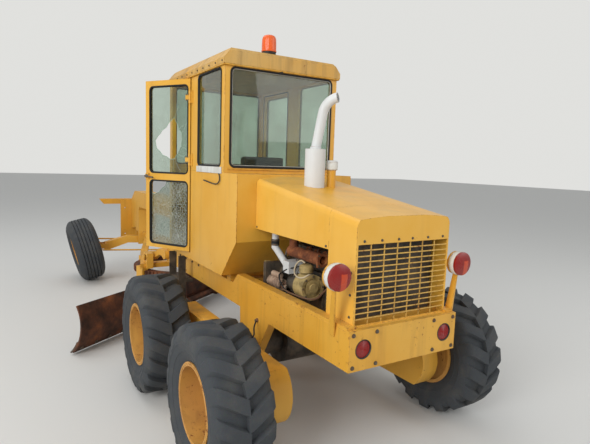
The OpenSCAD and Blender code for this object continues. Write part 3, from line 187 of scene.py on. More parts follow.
def wornPaint(name, settings):
    # Alkyd machine enamel, sprayed on sheet steel: chalks in the sun, chips at edges, rusts in specks
    tree, where = startMaterial(name)
    broad = addNode(tree, "ShaderNodeTexNoise",
                    {"Vector": where, "Scale": 1.6, "Detail": 5, "Roughness": 0.6})
    broadRamp = addNode(tree, "ShaderNodeMapRange", {0: broad, 1: 0.35, 2: 0.68})
    colour = addNode(tree, "ShaderNodeMix",
                     {0: broadRamp, 6: toLinear(settings["paint"]), 7: toLinear(settings["faded"])},
                     data_type="RGBA")
    # Grime runs down in soft streaks about 90 mm wide
    runs = addNode(tree, "ShaderNodeMapping", {"Vector": where, "Scale": (11, 11, 0.9)})
    runNoise = addNode(tree, "ShaderNodeTexNoise",
                       {"Vector": runs, "Scale": 1.0, "Detail": 8, "Roughness": 0.62, "Distortion": 0.5})
    runMask = addNode(tree, "ShaderNodeMapRange",
                      {0: runNoise, 1: 0.55 - 0.1 * settings["grime"], 2: 0.86})
    grimeMask = addNode(tree, "ShaderNodeMath", {0: runMask, 1: settings["grime"]}, operation="MULTIPLY")
    colour = addNode(tree, "ShaderNodeMix",
                     {0: grimeMask, 6: colour, 7: toLinear(settings["dirt"])}, data_type="RGBA")
    # Rust in specks up to 30 mm wide, thicker in patches
    speck = addNode(tree, "ShaderNodeTexNoise",
                    {"Vector": where, "Scale": 34, "Detail": 8, "Roughness": 0.72})
    patch = addNode(tree, "ShaderNodeTexNoise", {"Vector": where, "Scale": 3.1, "Detail": 4})
    lower = addNode(tree, "ShaderNodeMath", {0: patch, 1: 0.42}, operation="MULTIPLY")
    raised = addNode(tree, "ShaderNodeMath", {0: speck, 1: lower}, operation="ADD")
    rustMask = addNode(tree, "ShaderNodeMapRange",
                       {0: raised, 1: 0.95 - 0.16 * settings["rust"], 2: 1.02 - 0.16 * settings["rust"]})
    # Paint worn through along the edges, 7 mm wide
    bevel = addNode(tree, "ShaderNodeBevel", {"Radius": 0.007}, samples=4)
    flat = addNode(tree, "ShaderNodeNewGeometry")
    edge = addNode(tree, "ShaderNodeVectorMath",
                   {0: bevel, 1: flat.outputs["Normal"]}, operation="DOT_PRODUCT")
    edgeMask = addNode(tree, "ShaderNodeMapRange", {0: edge, 1: 0.985, 2: 0.86})
    edgeNoise = addNode(tree, "ShaderNodeMapRange", {0: speck, 1: 0.46, 2: 0.6})
    edgeWorn = addNode(tree, "ShaderNodeMath", {0: edgeMask, 1: edgeNoise}, operation="MULTIPLY")
    rustAll = addNode(tree, "ShaderNodeMath", {0: rustMask, 1: edgeWorn}, operation="MAXIMUM")
    rustTone = addNode(tree, "ShaderNodeMix",
                       {0: speck, 6: toLinear("#4A2A18"), 7: toLinear("#9A5A2C")}, data_type="RGBA")
    colour = addNode(tree, "ShaderNodeMix", {0: rustAll, 6: colour, 7: rustTone}, data_type="RGBA")
    # Dust and leaf mould lie on what faces up
    normal = addNode(tree, "ShaderNodeSeparateXYZ", {0: flat.outputs["Normal"]})
    facing = addNode(tree, "ShaderNodeMapRange", {0: normal.outputs[2], 1: 0.55, 2: 0.98})
    dustNoise = addNode(tree, "ShaderNodeTexNoise", {"Vector": where, "Scale": 6.5, "Detail": 7})
    dustRamp = addNode(tree, "ShaderNodeMapRange", {0: dustNoise, 1: 0.42, 2: 0.78, 4: settings["dust"]})
    dustMask = addNode(tree, "ShaderNodeMath", {0: facing, 1: dustRamp}, operation="MULTIPLY")
    colour = addNode(tree, "ShaderNodeMix",
                     {0: dustMask, 6: colour, 7: toLinear("#7A6544")}, data_type="RGBA")
    rough = addNode(tree, "ShaderNodeMapRange", {0: rustAll, 3: settings["rough"], 4: 0.92})
    rough = addNode(tree, "ShaderNodeMath", {0: rough, 1: dustMask}, operation="MAXIMUM")
    height = addNode(tree, "ShaderNodeMath", {0: rustAll, 1: 0.6, 2: broad}, operation="MULTIPLY_ADD")
    bump = addNode(tree, "ShaderNodeBump", {"Height": height, "Strength": 0.25, "Distance": 0.004})
    shader = addNode(tree, "ShaderNodeBsdfPrincipled",
                     {"Base Color": colour, "Roughness": rough, "Normal": bump, "IOR": 1.5})
    return endMaterial(name, shader)


def bareMetal(name, settings):
    # Rolled or cast iron left bare: brown mill scale and rust, polished only where soil or parts rub
    tree, where = startMaterial(name)
    broad = addNode(tree, "ShaderNodeTexNoise",
                    {"Vector": where, "Scale": settings["scale"], "Detail": 9, "Roughness": 0.66})
    ramp = addNode(tree, "ShaderNodeValToRGB", {0: broad})
    ramp.color_ramp.elements[0].position = 0.34
    ramp.color_ramp.elements[0].color = toLinear(settings["dark"])
    ramp.color_ramp.elements[1].position = 0.7
    ramp.color_ramp.elements[1].color = toLinear(settings["light"])
    middle = ramp.color_ramp.elements.new(0.52)
    middle.color = toLinear(settings["middle"])
    pits = addNode(tree, "ShaderNodeTexNoise",
                   {"Vector": where, "Scale": 90, "Detail": 6, "Roughness": 0.7})
    patch = addNode(tree, "ShaderNodeMapRange", {0: broad, 1: 0.5, 2: 0.42})
    metal = addNode(tree, "ShaderNodeMath", {0: patch, 1: settings["metal"]}, operation="MULTIPLY")
    rough = addNode(tree, "ShaderNodeMapRange",
                    {0: pits, 3: settings["rough"] - 0.12, 4: settings["rough"] + 0.15})
    bump = addNode(tree, "ShaderNodeBump",
                   {"Height": pits, "Strength": settings["bump"], "Distance": 0.003})
    shader = addNode(tree, "ShaderNodeBsdfPrincipled",
                     {"Base Color": ramp, "Roughness": rough, "Metallic": metal, "Normal": bump})
    return endMaterial(name, shader)


def agedRubber(name, settings):
    # Carbon-black tyre rubber, moulded: greyed by weather, with dry soil held in its hollows
    tree, where = startMaterial(name)
    broad = addNode(tree, "ShaderNodeTexNoise",
                    {"Vector": where, "Scale": 5, "Detail": 8, "Roughness": 0.6})
    soil = addNode(tree, "ShaderNodeMapRange", {0: broad, 1: 0.48, 2: 0.8, 4: settings["soil"]})
    colour = addNode(tree, "ShaderNodeMix",
                     {0: soil, 6: toLinear(settings["rubber"]), 7: toLinear(settings["dust"])},
                     data_type="RGBA")
    fine = addNode(tree, "ShaderNodeTexNoise", {"Vector": where, "Scale": 120, "Detail": 5})
    tone = addNode(tree, "ShaderNodeMix",
                   {0: 0.5, 6: colour, 7: fine.outputs[1]}, data_type="RGBA", blend_type="MULTIPLY")
    # Weather cracks 18 mm apart, coarser than real ones so that they show
    cracks = addNode(tree, "ShaderNodeTexVoronoi",
                     {"Vector": where, "Scale": 55}, feature="DISTANCE_TO_EDGE")
    crackMask = addNode(tree, "ShaderNodeMapRange", {0: cracks, 1: 0.0, 2: 0.05})
    height = addNode(tree, "ShaderNodeMath", {0: crackMask, 1: 0.35, 2: fine}, operation="MULTIPLY_ADD")
    bump = addNode(tree, "ShaderNodeBump", {"Height": height, "Strength": 0.3, "Distance": 0.003})
    shader = addNode(tree, "ShaderNodeBsdfPrincipled",
                     {"Base Color": tone, "Roughness": 0.86, "Normal": bump, "IOR": 1.52})
    return endMaterial(name, shader)


# Clear glass where the mask is black and a chalky layer where it is white; light passes as through a tint
def maskedGlass(name, settings, mask):
    tree = bpy.data.materials[name].node_tree
    tint = toLinear(settings["tint"])
    glass = addNode(tree, "ShaderNodeBsdfPrincipled",
                    {"Base Color": tint, "Roughness": settings["rough"], "IOR": 1.5,
                     "Transmission Weight": 1.0})
    clear = addNode(tree, "ShaderNodeBsdfTransparent", {"Color": tint})
    path = addNode(tree, "ShaderNodeLightPath")
    pane = addNode(tree, "ShaderNodeMixShader", {0: path.outputs["Is Shadow Ray"], 1: glass, 2: clear})
    chalk = addNode(tree, "ShaderNodeBsdfDiffuse", {"Color": toLinear(settings["chalk"])})
    both = addNode(tree, "ShaderNodeMixShader", {0: mask, 1: pane, 2: chalk})
    return endMaterial(name, both)


def floatGlass(name, settings):
    # Toughened float glass, 6 mm thick: a faint green body under a patchy film of dust
    tree, where = startMaterial(name)
    film = addNode(tree, "ShaderNodeTexNoise",
                   {"Vector": where, "Scale": 3.2, "Detail": 7, "Roughness": 0.62})
    filmMask = addNode(tree, "ShaderNodeMapRange", {0: film, 1: 0.4, 2: 0.82, 4: settings["film"]})
    return maskedGlass(name, settings, filmMask)


def crackedGlass(name, settings):
    # Toughened glass, burst but hanging together: cracks about 25 mm apart, pale where they catch light
    tree, where = startMaterial(name)
    cells = addNode(tree, "ShaderNodeTexVoronoi",
                    {"Vector": where, "Scale": settings["scale"]}, feature="DISTANCE_TO_EDGE")
    line = addNode(tree, "ShaderNodeMapRange", {0: cells, 1: 0.06, 2: 0.02, 4: 0.5})
    film = addNode(tree, "ShaderNodeTexNoise", {"Vector": where, "Scale": 4, "Detail": 6})
    filmMask = addNode(tree, "ShaderNodeMapRange", {0: film, 1: 0.35, 2: 0.75, 4: settings["film"]})
    mask = addNode(tree, "ShaderNodeMath", {0: line, 1: filmMask}, operation="MAXIMUM")
    return maskedGlass(name, settings, mask)


def mouldedPlastic(name, settings):
    # Injection-moulded plastic: a fine grain from its mould, drawn 3 mm wide so that it shows
    tree, where = startMaterial(name)
    grain = addNode(tree, "ShaderNodeTexNoise", {"Vector": where, "Scale": 380, "Detail": 3})
    broad = addNode(tree, "ShaderNodeTexNoise", {"Vector": where, "Scale": 7, "Detail": 6})
    soil = addNode(tree, "ShaderNodeMapRange", {0: broad, 1: 0.45, 2: 0.8, 4: settings["soil"]})
    colour = addNode(tree, "ShaderNodeMix",
                     {0: soil, 6: toLinear(settings["colour"]), 7: toLinear("#7C6E58")}, data_type="RGBA")
    rough = addNode(tree, "ShaderNodeMapRange",
                    {0: broad, 3: settings["rough"], 4: settings["rough"] + 0.2})
    bump = addNode(tree, "ShaderNodeBump", {"Height": grain, "Strength": 0.12, "Distance": 0.001})
    shader = addNode(tree, "ShaderNodeBsdfPrincipled",
                     {"Base Color": colour, "Roughness": rough, "Normal": bump, "IOR": 1.49})
    return endMaterial(name, shader)


def grainedVinyl(name, settings):
    # Grained vinyl over foam, sewn from panels: pebble grain 2 mm wide, dusty in patches
    tree, where = startMaterial(name)
    grain = addNode(tree, "ShaderNodeTexVoronoi", {"Vector": where, "Scale": 420})
    broad = addNode(tree, "ShaderNodeTexNoise", {"Vector": where, "Scale": 9, "Detail": 7})
    soil = addNode(tree, "ShaderNodeMapRange", {0: broad, 1: 0.45, 2: 0.75, 4: settings["soil"]})
    colour = addNode(tree, "ShaderNodeMix",
                     {0: soil, 6: toLinear(settings["colour"]), 7: toLinear(settings["worn"])},
                     data_type="RGBA")
    bump = addNode(tree, "ShaderNodeBump", {"Height": grain, "Strength": 0.2, "Distance": 0.0015})
    shader = addNode(tree, "ShaderNodeBsdfPrincipled",
                     {"Base Color": colour, "Roughness": settings["rough"], "Normal": bump, "IOR": 1.5})
    return endMaterial(name, shader)


# How each kind of finish is made, what its columns mean, and the finishes of that kind
finishTables = [
    (wornPaint, ("paint", "faded", "dirt", "grime", "rust", "dust", "rough"), {
        "cabEnamel": ("#DBA02C", "#E2AE48", "#946628", 0.35, 0.3, 0.45, 0.42),
        "hoodEnamel": ("#E0A52E", "#E6B24C", "#A87830", 0.22, 0.25, 0.25, 0.38),
        "frameEnamel": ("#D69A2C", "#DDA842", "#80582A", 0.45, 0.55, 0.6, 0.5),
        "rimEnamel": ("#CC9A48", "#C08C48", "#7A4E28", 0.7, 0.85, 0.5, 0.55),
        "grilleEnamel": ("#D9AE4C", "#CFA552", "#6E4C26", 0.6, 0.8, 0.3, 0.5),
        # Pale paint of the lamp bodies and the inlet cap; on the cab's sill bands its whiteness is a painted
        # sky reflection
        "paleEnamel": ("#D9DAD6", "#CCCBC2", "#8A7046", 0.6, 0.5, 0.3, 0.5),
        "roofEnamel": ("#CF9A3A", "#C9A25C", "#6C5432", 0.8, 0.55, 0.95, 0.55),
        "silencerPaint": ("#CDCECD", "#D9DAD8", "#958E82", 0.4, 0.22, 0.2, 0.5)}),
    (bareMetal, ("scale", "dark", "middle", "light", "metal", "rough", "bump"), {
        "rustyPlate": (4.5, "#2E1C14", "#55301C", "#8A4E28", 0.15, 0.78, 0.5),
        "wornEdgeSteel": (9, "#6A6660", "#57483A", "#6B3F24", 0.9, 0.5, 0.25),
        "oilyIron": (8, "#2A2723", "#4A4238", "#6B5A44", 0.2, 0.6, 0.3),
        "rustyCasting": (14, "#4A2616", "#7A4322", "#A2683A", 0.05, 0.86, 0.5),
        "groundSteel": (6, "#A8A59D", "#8C8880", "#6E5A46", 1.0, 0.34, 0.1),
        "oldBolt": (60, "#6E6A62", "#574B3C", "#7A4A28", 0.55, 0.55, 0.25),
        "brightTrim": (12, "#B9B7B0", "#A5A298", "#857B68", 0.8, 0.36, 0.08),
        "darkIron": (11, "#1D1C1B", "#2E2A26", "#46392C", 0.25, 0.6, 0.3),
        "dustyCream": (16, "#6E5E38", "#A38D5A", "#B9A06A", 0.0, 0.7, 0.25),
        "palePaint": (14, "#6B5546", "#A68C76", "#BDA48C", 0.0, 0.7, 0.25)}),
    (agedRubber, ("rubber", "dust", "soil"), {
        "tyreRubber": ("#404448", "#6B675F", 0.5),
        "sealRubber": ("#1C1C1D", "#4B4640", 0.25)}),
    (floatGlass, ("tint", "rough", "film", "chalk"), {"paneGlass": ("#C2D2C6", 0.03, 0.2, "#8C8A78")}),
    (crackedGlass, ("tint", "rough", "scale", "film", "chalk"), {
        "crazedGlass": ("#A9B8AC", 0.08, 38, 0.3, "#C9CCC2")}),
    (mouldedPlastic, ("colour", "rough", "soil"), {
        "glassEdge": ("#A9C2B0", 0.2, 0.1),
        "blackPlastic": ("#1E1E1F", 0.5, 0.35),
        "redLens": ("#8A0F0C", 0.16, 0.15),
        "orangeLens": ("#C4421A", 0.16, 0.15),
        "amberDome": ("#E8601C", 0.2, 0.12),
        "paleHose": ("#B9A98C", 0.55, 0.4),
        "brownHose": ("#5A3B26", 0.6, 0.4),
        "seatThread": ("#4C4A46", 0.7, 0.3)}),
    (grainedVinyl, ("colour", "worn", "soil", "rough"), {"seatVinyl": ("#232327", "#4A4640", 0.5, 0.5)}),
]
material = {}
for makeFinish, columns, rows in finishTables:
    for name, row in rows.items():
        material[name] = makeFinish(name, dict(zip(columns, row)))
print("materials made:", len(material))

nodesOf = {
    "hoodEnamel": ["hood", "radiator_cowl"],
    "cabEnamel": ["cab_lower", "cab_frame", "door_left", "door_right", "pre_cleaner"],
    "roofEnamel": ["cab_roof"],
    "grilleEnamel": ["grille"],
    "oilyIron": ["radiator_core", "engine_block", "axle_housing", "steps"],
    "darkIron": ["engine_fan", "engine_feet"],
    "rustyCasting": ["exhaust_manifold"],
    "dustyCream": ["engine_filters"],
    "palePaint": ["starter"],
    "silencerPaint": ["muffler", "intake_pipe"],
    "redLens": ["lamp_lenses"],
    "amberDome": ["beacon"],
    "blackPlastic": ["seat_base", "controls"],
    "seatVinyl": ["seat_cushions"],
    "rustyPlate": ["mouldboard", "blade_circle"],
    "wornEdgeSteel": ["cutting_edge"],
    "groundSteel": ["ball_stud"],
}
finishOf = {node: finish for finish, names in nodesOf.items() for node in names}


def finishNodes():
    for name, obj in nodes.items():
        if name.startswith("tyre"):
            finish = "tyreRubber"
        elif name.startswith("rim"):
            finish = "rimEnamel"
        elif "glass" in name or name == "cab_windows":
            finish = "paneGlass"
        else:
            finish = finishOf.get(name, "frameEnamel")
        obj.data.materials.clear()
        obj.data.materials.append(material[finish])


finishNodes()
print("nodes finished")


# Mesh helpers, in millimetres until a piece is finished

machine = Matrix.Translation((shiftX, 0, 0)) @ Matrix.Scale(0.001, 4)
joints = {joint["name"]: joint for joint in frame["record"]["behaviour"]["joints"]}
random.seed(5143)


def finishPiece(name, shape, where, finishes, body, replaced=()):
    bmesh.ops.transform(shape, matrix=where, verts=shape.verts)
    bmesh.ops.remove_doubles(shape, verts=shape.verts, dist=0.00003)
    bmesh.ops.recalc_face_normals(shape, faces=shape.faces)
    for edge in shape.edges:
        if len(edge.link_faces) == 2 and edge.calc_face_angle(0) > math.radians(34):
            edge.smooth = False
    for face in shape.faces:
        face.smooth = True
    mesh = bpy.data.meshes.new(name)
    shape.to_mesh(mesh)
    shape.free()
    piece = linkObject(name, mesh)
    for finish in finishes:
        mesh.materials.append(material[finish])
    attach(piece, body)
    if replaced:
        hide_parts(*replaced)


# Box between two corners with its edges rounded, then turned
def addBox(shape, low, high, edge, slot, turn=None):
    made = bmesh.ops.create_cube(shape, size=1)["verts"]
    size = [high[i] - low[i] for i in range(3)]
    middle = Vector([(high[i] + low[i]) / 2 for i in range(3)])
    bmesh.ops.scale(shape, vec=size, verts=made)
    edges = list({e for v in made for e in v.link_edges})
    cut = bmesh.ops.bevel(shape, geom=edges, offset=edge, segments=2, profile=0.6, affect="EDGES")
    made = list({v for f in cut["faces"] for v in f.verts})
    for face in {f for v in made for f in v.link_faces}:
        face.material_index = slot
    bmesh.ops.transform(shape, matrix=Matrix.Translation(middle) @ (turn or Matrix()), verts=made)


# Point on a circle, a share of the way round
def onCircle(radius, share):
    return radius * math.cos(2 * math.pi * share), radius * math.sin(2 * math.pi * share)


# Faces between rings that have as many points each
def joinRings(shape, rings, slot=0, closed=False):
    for one, two in list(zip(rings, rings[1:])) + ([(rings[-1], rings[0])] if closed else []):
        for k in range(len(one)):
            n = (k + 1) % len(one)
            shape.faces.new((one[k], one[n], two[n], two[k])).material_index = slot


# Turns a profile of (radius, distance along the axis) round the Z axis of its place
def addLathe(shape, profile, steps, where, slot=0, closed=False):
    rings = []
    for radius, along in profile:
        ring = [Vector((*onCircle(radius, k / steps), along)) for k in range(steps)]
        rings.append([shape.verts.new(where @ point) for point in ring])
    joinRings(shape, rings, slot, closed)


# Place whose Z axis starts at a point and runs a given way
def axisTo(point, direction):
    turn = Vector((0, 0, 1)).rotation_difference(Vector(direction).normalized())
    return Matrix.Translation(Vector(point)) @ turn.to_matrix().to_4x4()


# Curve through a list of points
def smoothPath(points, steps):
    points = [Vector(p) for p in points]
    last = len(points) - 1
    result = []
    for i in range(last):
        a, b, c, d = [points[min(max(i + k, 0), last)] for k in (-1, 0, 1, 2)]
        for step in range(steps):
            t = step / steps
            result.append(0.5 * ((2 * b) + (c - a) * t + (2 * a - 5 * b + 4 * c - d) * t * t
                                 + (3 * b - a - 3 * c + d) * t ** 3))
    return result + [points[-1]]


# Round tube along a path, with flat ends or closed on itself
def addTube(shape, path, radius, sides, slot, closed=False):
    path = [Vector(p) for p in path]
    count = len(path)
    side = None
    rings = []
    for i, point in enumerate(path):
        ahead = path[(i + 1) % count] if closed or i + 1 < count else point
        behind = path[i - 1] if closed or i > 0 else point
        along = (ahead - behind).normalized()
        if side is None:
            side = along.orthogonal().normalized()
        side = (side - along * side.dot(along)).normalized()
        over = along.cross(side)
        ring = [onCircle(radius, k / sides) for k in range(sides)]
        rings.append([shape.verts.new(point + side * a + over * b) for a, b in ring])
    joinRings(shape, rings, slot, closed)
    if not closed:
        shape.faces.new(rings[0]).material_index = slot
        shape.faces.new(rings[-1]).material_index = slot


# Sweeps an outline of (inward, outward) points along a closed loop that lies flat
def addSweep(shape, loop, outward, outline, slot=0):
    outward = Vector(outward).normalized()
    count = len(loop)
    middle = sum((Vector(p) for p in loop), Vector()) / count
    rings = []
    for i, point in enumerate(loop):
        point = Vector(point)
        along = (Vector(loop[(i + 1) % count]) - Vector(loop[i - 1])).normalized()
        inward = along.cross(outward).normalized()
        if inward.dot(middle - point) < 0:
            inward = -inward
        rings.append([shape.verts.new(point + inward * a + outward * b) for a, b in outline])
    joinRings(shape, rings, slot, closed=True)


# Rectangle with round corners
def roundedLoop(low, high, radius, steps=6):
    corners = [(high[0] - radius, high[1] - radius, 0), (low[0] + radius, high[1] - radius, 1),
               (low[0] + radius, low[1] + radius, 2), (high[0] - radius, low[1] + radius, 3)]
    loop = []
    for x, y, start in corners:
        for k in range(steps + 1):
            across, up = onCircle(radius, (start + k / steps) / 4)
            loop.append((x + across, y + up))
    return loop


# Geometry Nodes groups for what repeats

def newGroup(name, **inputs):
    group = bpy.data.node_groups.new(name, "GeometryNodeTree")
    group.interface.new_socket("Geometry", in_out="INPUT", socket_type="NodeSocketGeometry")
    for label, kind in inputs.items():
        group.interface.new_socket(label, in_out="INPUT", socket_type="NodeSocket" + kind)
    group.interface.new_socket("Geometry", in_out="OUTPUT", socket_type="NodeSocketGeometry")
    return group, group.nodes.new("NodeGroupInput"), group.nodes.new("NodeGroupOutput")


def makeBoltGroup():
    group, start, end = newGroup("boltHeads", Size="Float", Finish="Material")
    parts = []
    # Washer, hexagon and the end of the thread, for a size of one: corners, radius, depth, height
    discs = ((20, 1.4, 0.22, 0.11), (6, 1.05, 0.7, 0.55), (12, 0.55, 0.4, 1.0))
    for corners, radius, depth, height in discs:
        part = addNode(group, "GeometryNodeMeshCylinder",
                       {"Vertices": corners, "Radius": radius, "Depth": depth})
        moved = addNode(group, "GeometryNodeTransform", {"Geometry": part, "Translation": (0, 0, height)})
        parts.append(moved.outputs[0])
    joined = group.nodes.new("GeometryNodeJoinGeometry")
    for part in parts:
        group.links.new(part, joined.inputs[0])
    facing = addNode(group, "GeometryNodeInputNamedAttribute",
                     {"Name": "facing"}, data_type="FLOAT_VECTOR")
    aligned = addNode(group, "FunctionNodeAlignRotationToVector", {"Vector": facing}, axis="Z")
    spin = addNode(group, "FunctionNodeRandomValue", {2: 0.0, 3: 1.05, "Seed": 3}, data_type="FLOAT")
    angle = addNode(group, "FunctionNodeAxisAngleToRotation", {"Axis": (0, 0, 1), "Angle": spin})
    turned = addNode(group, "FunctionNodeRotateRotation",
                     {"Rotation": aligned, "Rotate By": angle}, rotation_space="LOCAL")
    placed = addNode(group, "GeometryNodeInstanceOnPoints",
                     {"Points": start.outputs["Geometry"], "Instance": joined, "Rotation": turned,
                      "Scale": start.outputs["Size"]})
    real = addNode(group, "GeometryNodeRealizeInstances", {0: placed})
    coloured = addNode(group, "GeometryNodeSetMaterial",
                       {"Geometry": real, "Material": start.outputs["Finish"]})
    group.links.new(coloured.outputs[0], end.inputs[0])
    return group


def makeRoundGroup():
    group, start, end = newGroup("roundAboutAxis", Count="Int", Finish="Material")
    points = addNode(group, "GeometryNodePoints", {"Count": start.outputs["Count"]})
    index = group.nodes.new("GeometryNodeInputIndex")
    share = addNode(group, "ShaderNodeMath", {0: index, 1: start.outputs["Count"]}, operation="DIVIDE")
    angle = addNode(group, "ShaderNodeMath", {0: share, 1: 2 * math.pi}, operation="MULTIPLY")
    turn = addNode(group, "FunctionNodeAxisAngleToRotation", {"Axis": (0, 1, 0), "Angle": angle})
    placed = addNode(group, "GeometryNodeInstanceOnPoints",
                     {"Points": points, "Instance": start.outputs["Geometry"], "Rotation": turn})
    real = addNode(group, "GeometryNodeRealizeInstances", {0: placed})
    coloured = addNode(group, "GeometryNodeSetMaterial",
                       {"Geometry": real, "Material": start.outputs["Finish"]})
    group.links.new(coloured.outputs[0], end.inputs[0])
    return group


boltGroup = makeBoltGroup()
roundGroup = makeRoundGroup()


def evaluatedMesh(holder):
    graph = bpy.context.evaluated_depsgraph_get()
    return bpy.data.meshes.new_from_object(holder.evaluated_get(graph), depsgraph=graph)


def applyGroup(mesh, group, values):
    holder = linkObject("holder", mesh)
    modifier = holder.modifiers.new("repeat", "NODES")
    modifier.node_group = group
    for item in group.interface.items_tree:
        if item.item_type == "SOCKET" and item.in_out == "INPUT" and item.name in values:
            modifier[item.identifier] = values[item.name]
    made = evaluatedMesh(holder)
    holder.modifiers.clear()
    bpy.data.objects.remove(holder)
    return made


# Bolt heads at a list of (place, outward direction), in millimetres
def addBolts(name, spots, size, finish, body, where=machine):
    mesh = bpy.data.meshes.new(name + "Spots")
    mesh.from_pydata([where @ Vector(p) for p, d in spots], [], [])
    facing = mesh.attributes.new("facing", "FLOAT_VECTOR", "POINT")
    turn = where.to_3x3()
    for i, (p, d) in enumerate(spots):
        facing.data[i].vector = (turn @ Vector(d)).normalized()
    made = applyGroup(mesh, boltGroup, {"Size": size / 1000, "Finish": material[finish]})
    made.name = name
    piece = linkObject(name, made)
    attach(piece, body)


# Wheels: each tyre stands for its node, drawn about Y with its outer side towards +Y

def wheelPlace(joint, side):
    centre = Vector(joints[joint]["pos_m"])
    outward = Vector(joints[joint]["axis"]) * side
    forward = Vector((1, 0, 0))
    upward = forward.cross(outward) * (1 if side > 0 else -1)
    turn = Matrix((forward, outward, upward)).transposed().to_4x4()
    return Matrix.Translation(centre) @ turn @ Matrix.Scale(0.001, 4)


aroundY = Matrix.Rotation(math.radians(-90), 4, "X")

rearTyre = {
    "lugs": 17,
    "slant": 12,            # degrees from the middle to the shoulder
    "halfWidth": 5.4,       # degrees at a lug's top
    "footWidth": 7.3,       # degrees at its foot
    "round": 3.0,           # millimetres taken off a lug's edges
    # Side wall from the bead outwards: distance from the middle, radius
    "wall": [(140, 257), (149, 262), (156, 277), (160, 283), (163, 291), (168, 296), (176, 312),
             (187, 338), (190.5, 340), (190.5, 344), (188, 346), (195, 372), (199, 392), (201.5, 394),
             (201.5, 399), (199.5, 401), (197, 425), (191, 446), (181, 460), (167, 472), (146, 480),
             (120, 483), (60, 484), (0, 484)],
    # Lug from the middle to the shoulder: distance, share of the slant, top radius, foot radius
    "lug": [(-7, 0.0, 520, 470), (40, 0.22, 521, 470), (80, 0.45, 520.5, 470), (115, 0.65, 519.5, 470),
            (148, 0.83, 516, 466), (168, 0.94, 508, 460), (180, 1.0, 496, 452), (190, 1.0, 470, 436),
            (200, 1.0, 432, 412)],
    "steps": 136,
}


def lugShape(settings):
    shape = bmesh.new()
    pitch = 360 / settings["lugs"]
    wide, low, cut = settings["halfWidth"], settings["footWidth"], settings["round"]
    for side, start in ((-1, pitch / 8), (1, pitch * 5 / 8)):
        rings = []
        for across, share, top, foot in settings["lug"]:
            trim = math.degrees(cut / top)
            section = [(-low, foot), (-wide, top - cut), (-wide + trim, top), (wide - trim, top),
                       (wide, top - cut), (low, foot)]
            ring = []
            for offset, radius in section:
                z, x = onCircle(radius, (start + share * settings["slant"] + offset) / 360)
                ring.append(shape.verts.new((x, side * across, z)))
            rings.append(ring)
        joinRings(shape, rings)
        shape.faces.new(rings[0])
        shape.faces.new(rings[-1])
    mesh = bpy.data.meshes.new("lug")
    bmesh.ops.recalc_face_normals(shape, faces=shape.faces)
    shape.to_mesh(mesh)
    shape.free()
    return mesh


def makeTyre(name, replaced, body, side, settings, lugs=None):
    shape = bmesh.new()
    wall = settings["wall"]
    profile = [(r, y) for y, r in wall] + [(r, -y) for y, r in reversed(wall[:-1])]
    addLathe(shape, profile, settings["steps"], aroundY, closed=True)
    if lugs:
        shape.from_mesh(lugs)
    for face in shape.faces:
        face.material_index = 0
    finishPiece(name, shape, wheelPlace(body + "_spin", side), ["tyreRubber"], body, [replaced])


rearWheels = [(number, 1 if number < 3 else -1) for number in (1, 2, 3, 4)]
frontWheels = [("left", 1), ("right", -1)]
lugInputs = {"Count": rearTyre["lugs"], "Finish": material["tyreRubber"]}
lugMesh = applyGroup(lugShape(rearTyre), roundGroup, lugInputs)
for number, side in rearWheels:
    node = "tyre_rear_%d" % number
    makeTyre("rearTyre%d" % number, node, "wheel_rear_%d" % number, side, rearTyre, lugMesh)

frontTyre = {
    "wall": [(145, 256), (153, 262), (157, 276), (161, 284), (164, 292), (169, 297), (178, 315),
             (187, 340), (190, 342), (190, 346), (188.5, 348), (195, 372), (198, 392), (200.5, 394),
             (200.5, 399), (198, 402), (193, 425), (183, 448), (171, 468), (159, 485), (149, 497),
             (136, 507), (118, 515), (108, 518.5), (106, 518.5), (104, 505), (94, 505), (92, 519.5),
             (60, 520.5), (58, 520.5), (56, 505), (46, 505), (44, 521), (12, 521), (10, 521), (8, 505),
             (0, 505)],
    "steps": 120,
}
for name, side in frontWheels:
    makeTyre("frontTyre" + name.title(), "tyre_front_" + name, "wheel_front_" + name, side, frontTyre)

# Wheel nuts, lock rings and valve stems
rimTrim = {
    "nuts": 8, "nutCircle": 138, "nutSize": 19,
    "ring": 259, "ringOut": 165, "ringThick": 5,
    "stem": 6,
    # Outer face of the disc, outwards from the tyre's middle plane
    "rearFace": -109, "frontFace": 56,
}


def makeRimTrim(body, side, faceY, settings):
    where = wheelPlace(body + "_spin", side)
    spots = []
    for k in range(settings["nuts"]):
        x, z = onCircle(settings["nutCircle"], k / settings["nuts"])
        spots.append(((x, faceY, z), (0, 1, 0)))
    addBolts(body + "_nuts", spots, settings["nutSize"], "oldBolt", body, where)
    shape = bmesh.new()
    loop = []
    for k in range(96):
        z, x = onCircle(settings["ring"], k / 96)
        loop.append((x, settings["ringOut"], z))
    addTube(shape, loop, settings["ringThick"], 10, 0, closed=True)
    stem = [(0, faceY + 8, 222), (0, faceY + 30, 226), (6, faceY + 52, 229), (9, faceY + 70, 230)]
    addTube(shape, smoothPath(stem, 4), settings["stem"], 10, 1)
    addTube(shape, [(9, faceY + 70, 230), (10, faceY + 84, 230)], settings["stem"] + 2, 10, 1)
    finishPiece(body + "_lockRing", shape, where, ["rimEnamel", "sealRubber"], body)


for number, side in rearWheels:
    makeRimTrim("wheel_rear_%d" % number, side, rimTrim["rearFace"], rimTrim)
for name, side in frontWheels:
    makeRimTrim("wheel_front_" + name, side, rimTrim["frontFace"], rimTrim)
print("wheels made")


# Cab: window seals with a bright filler strip

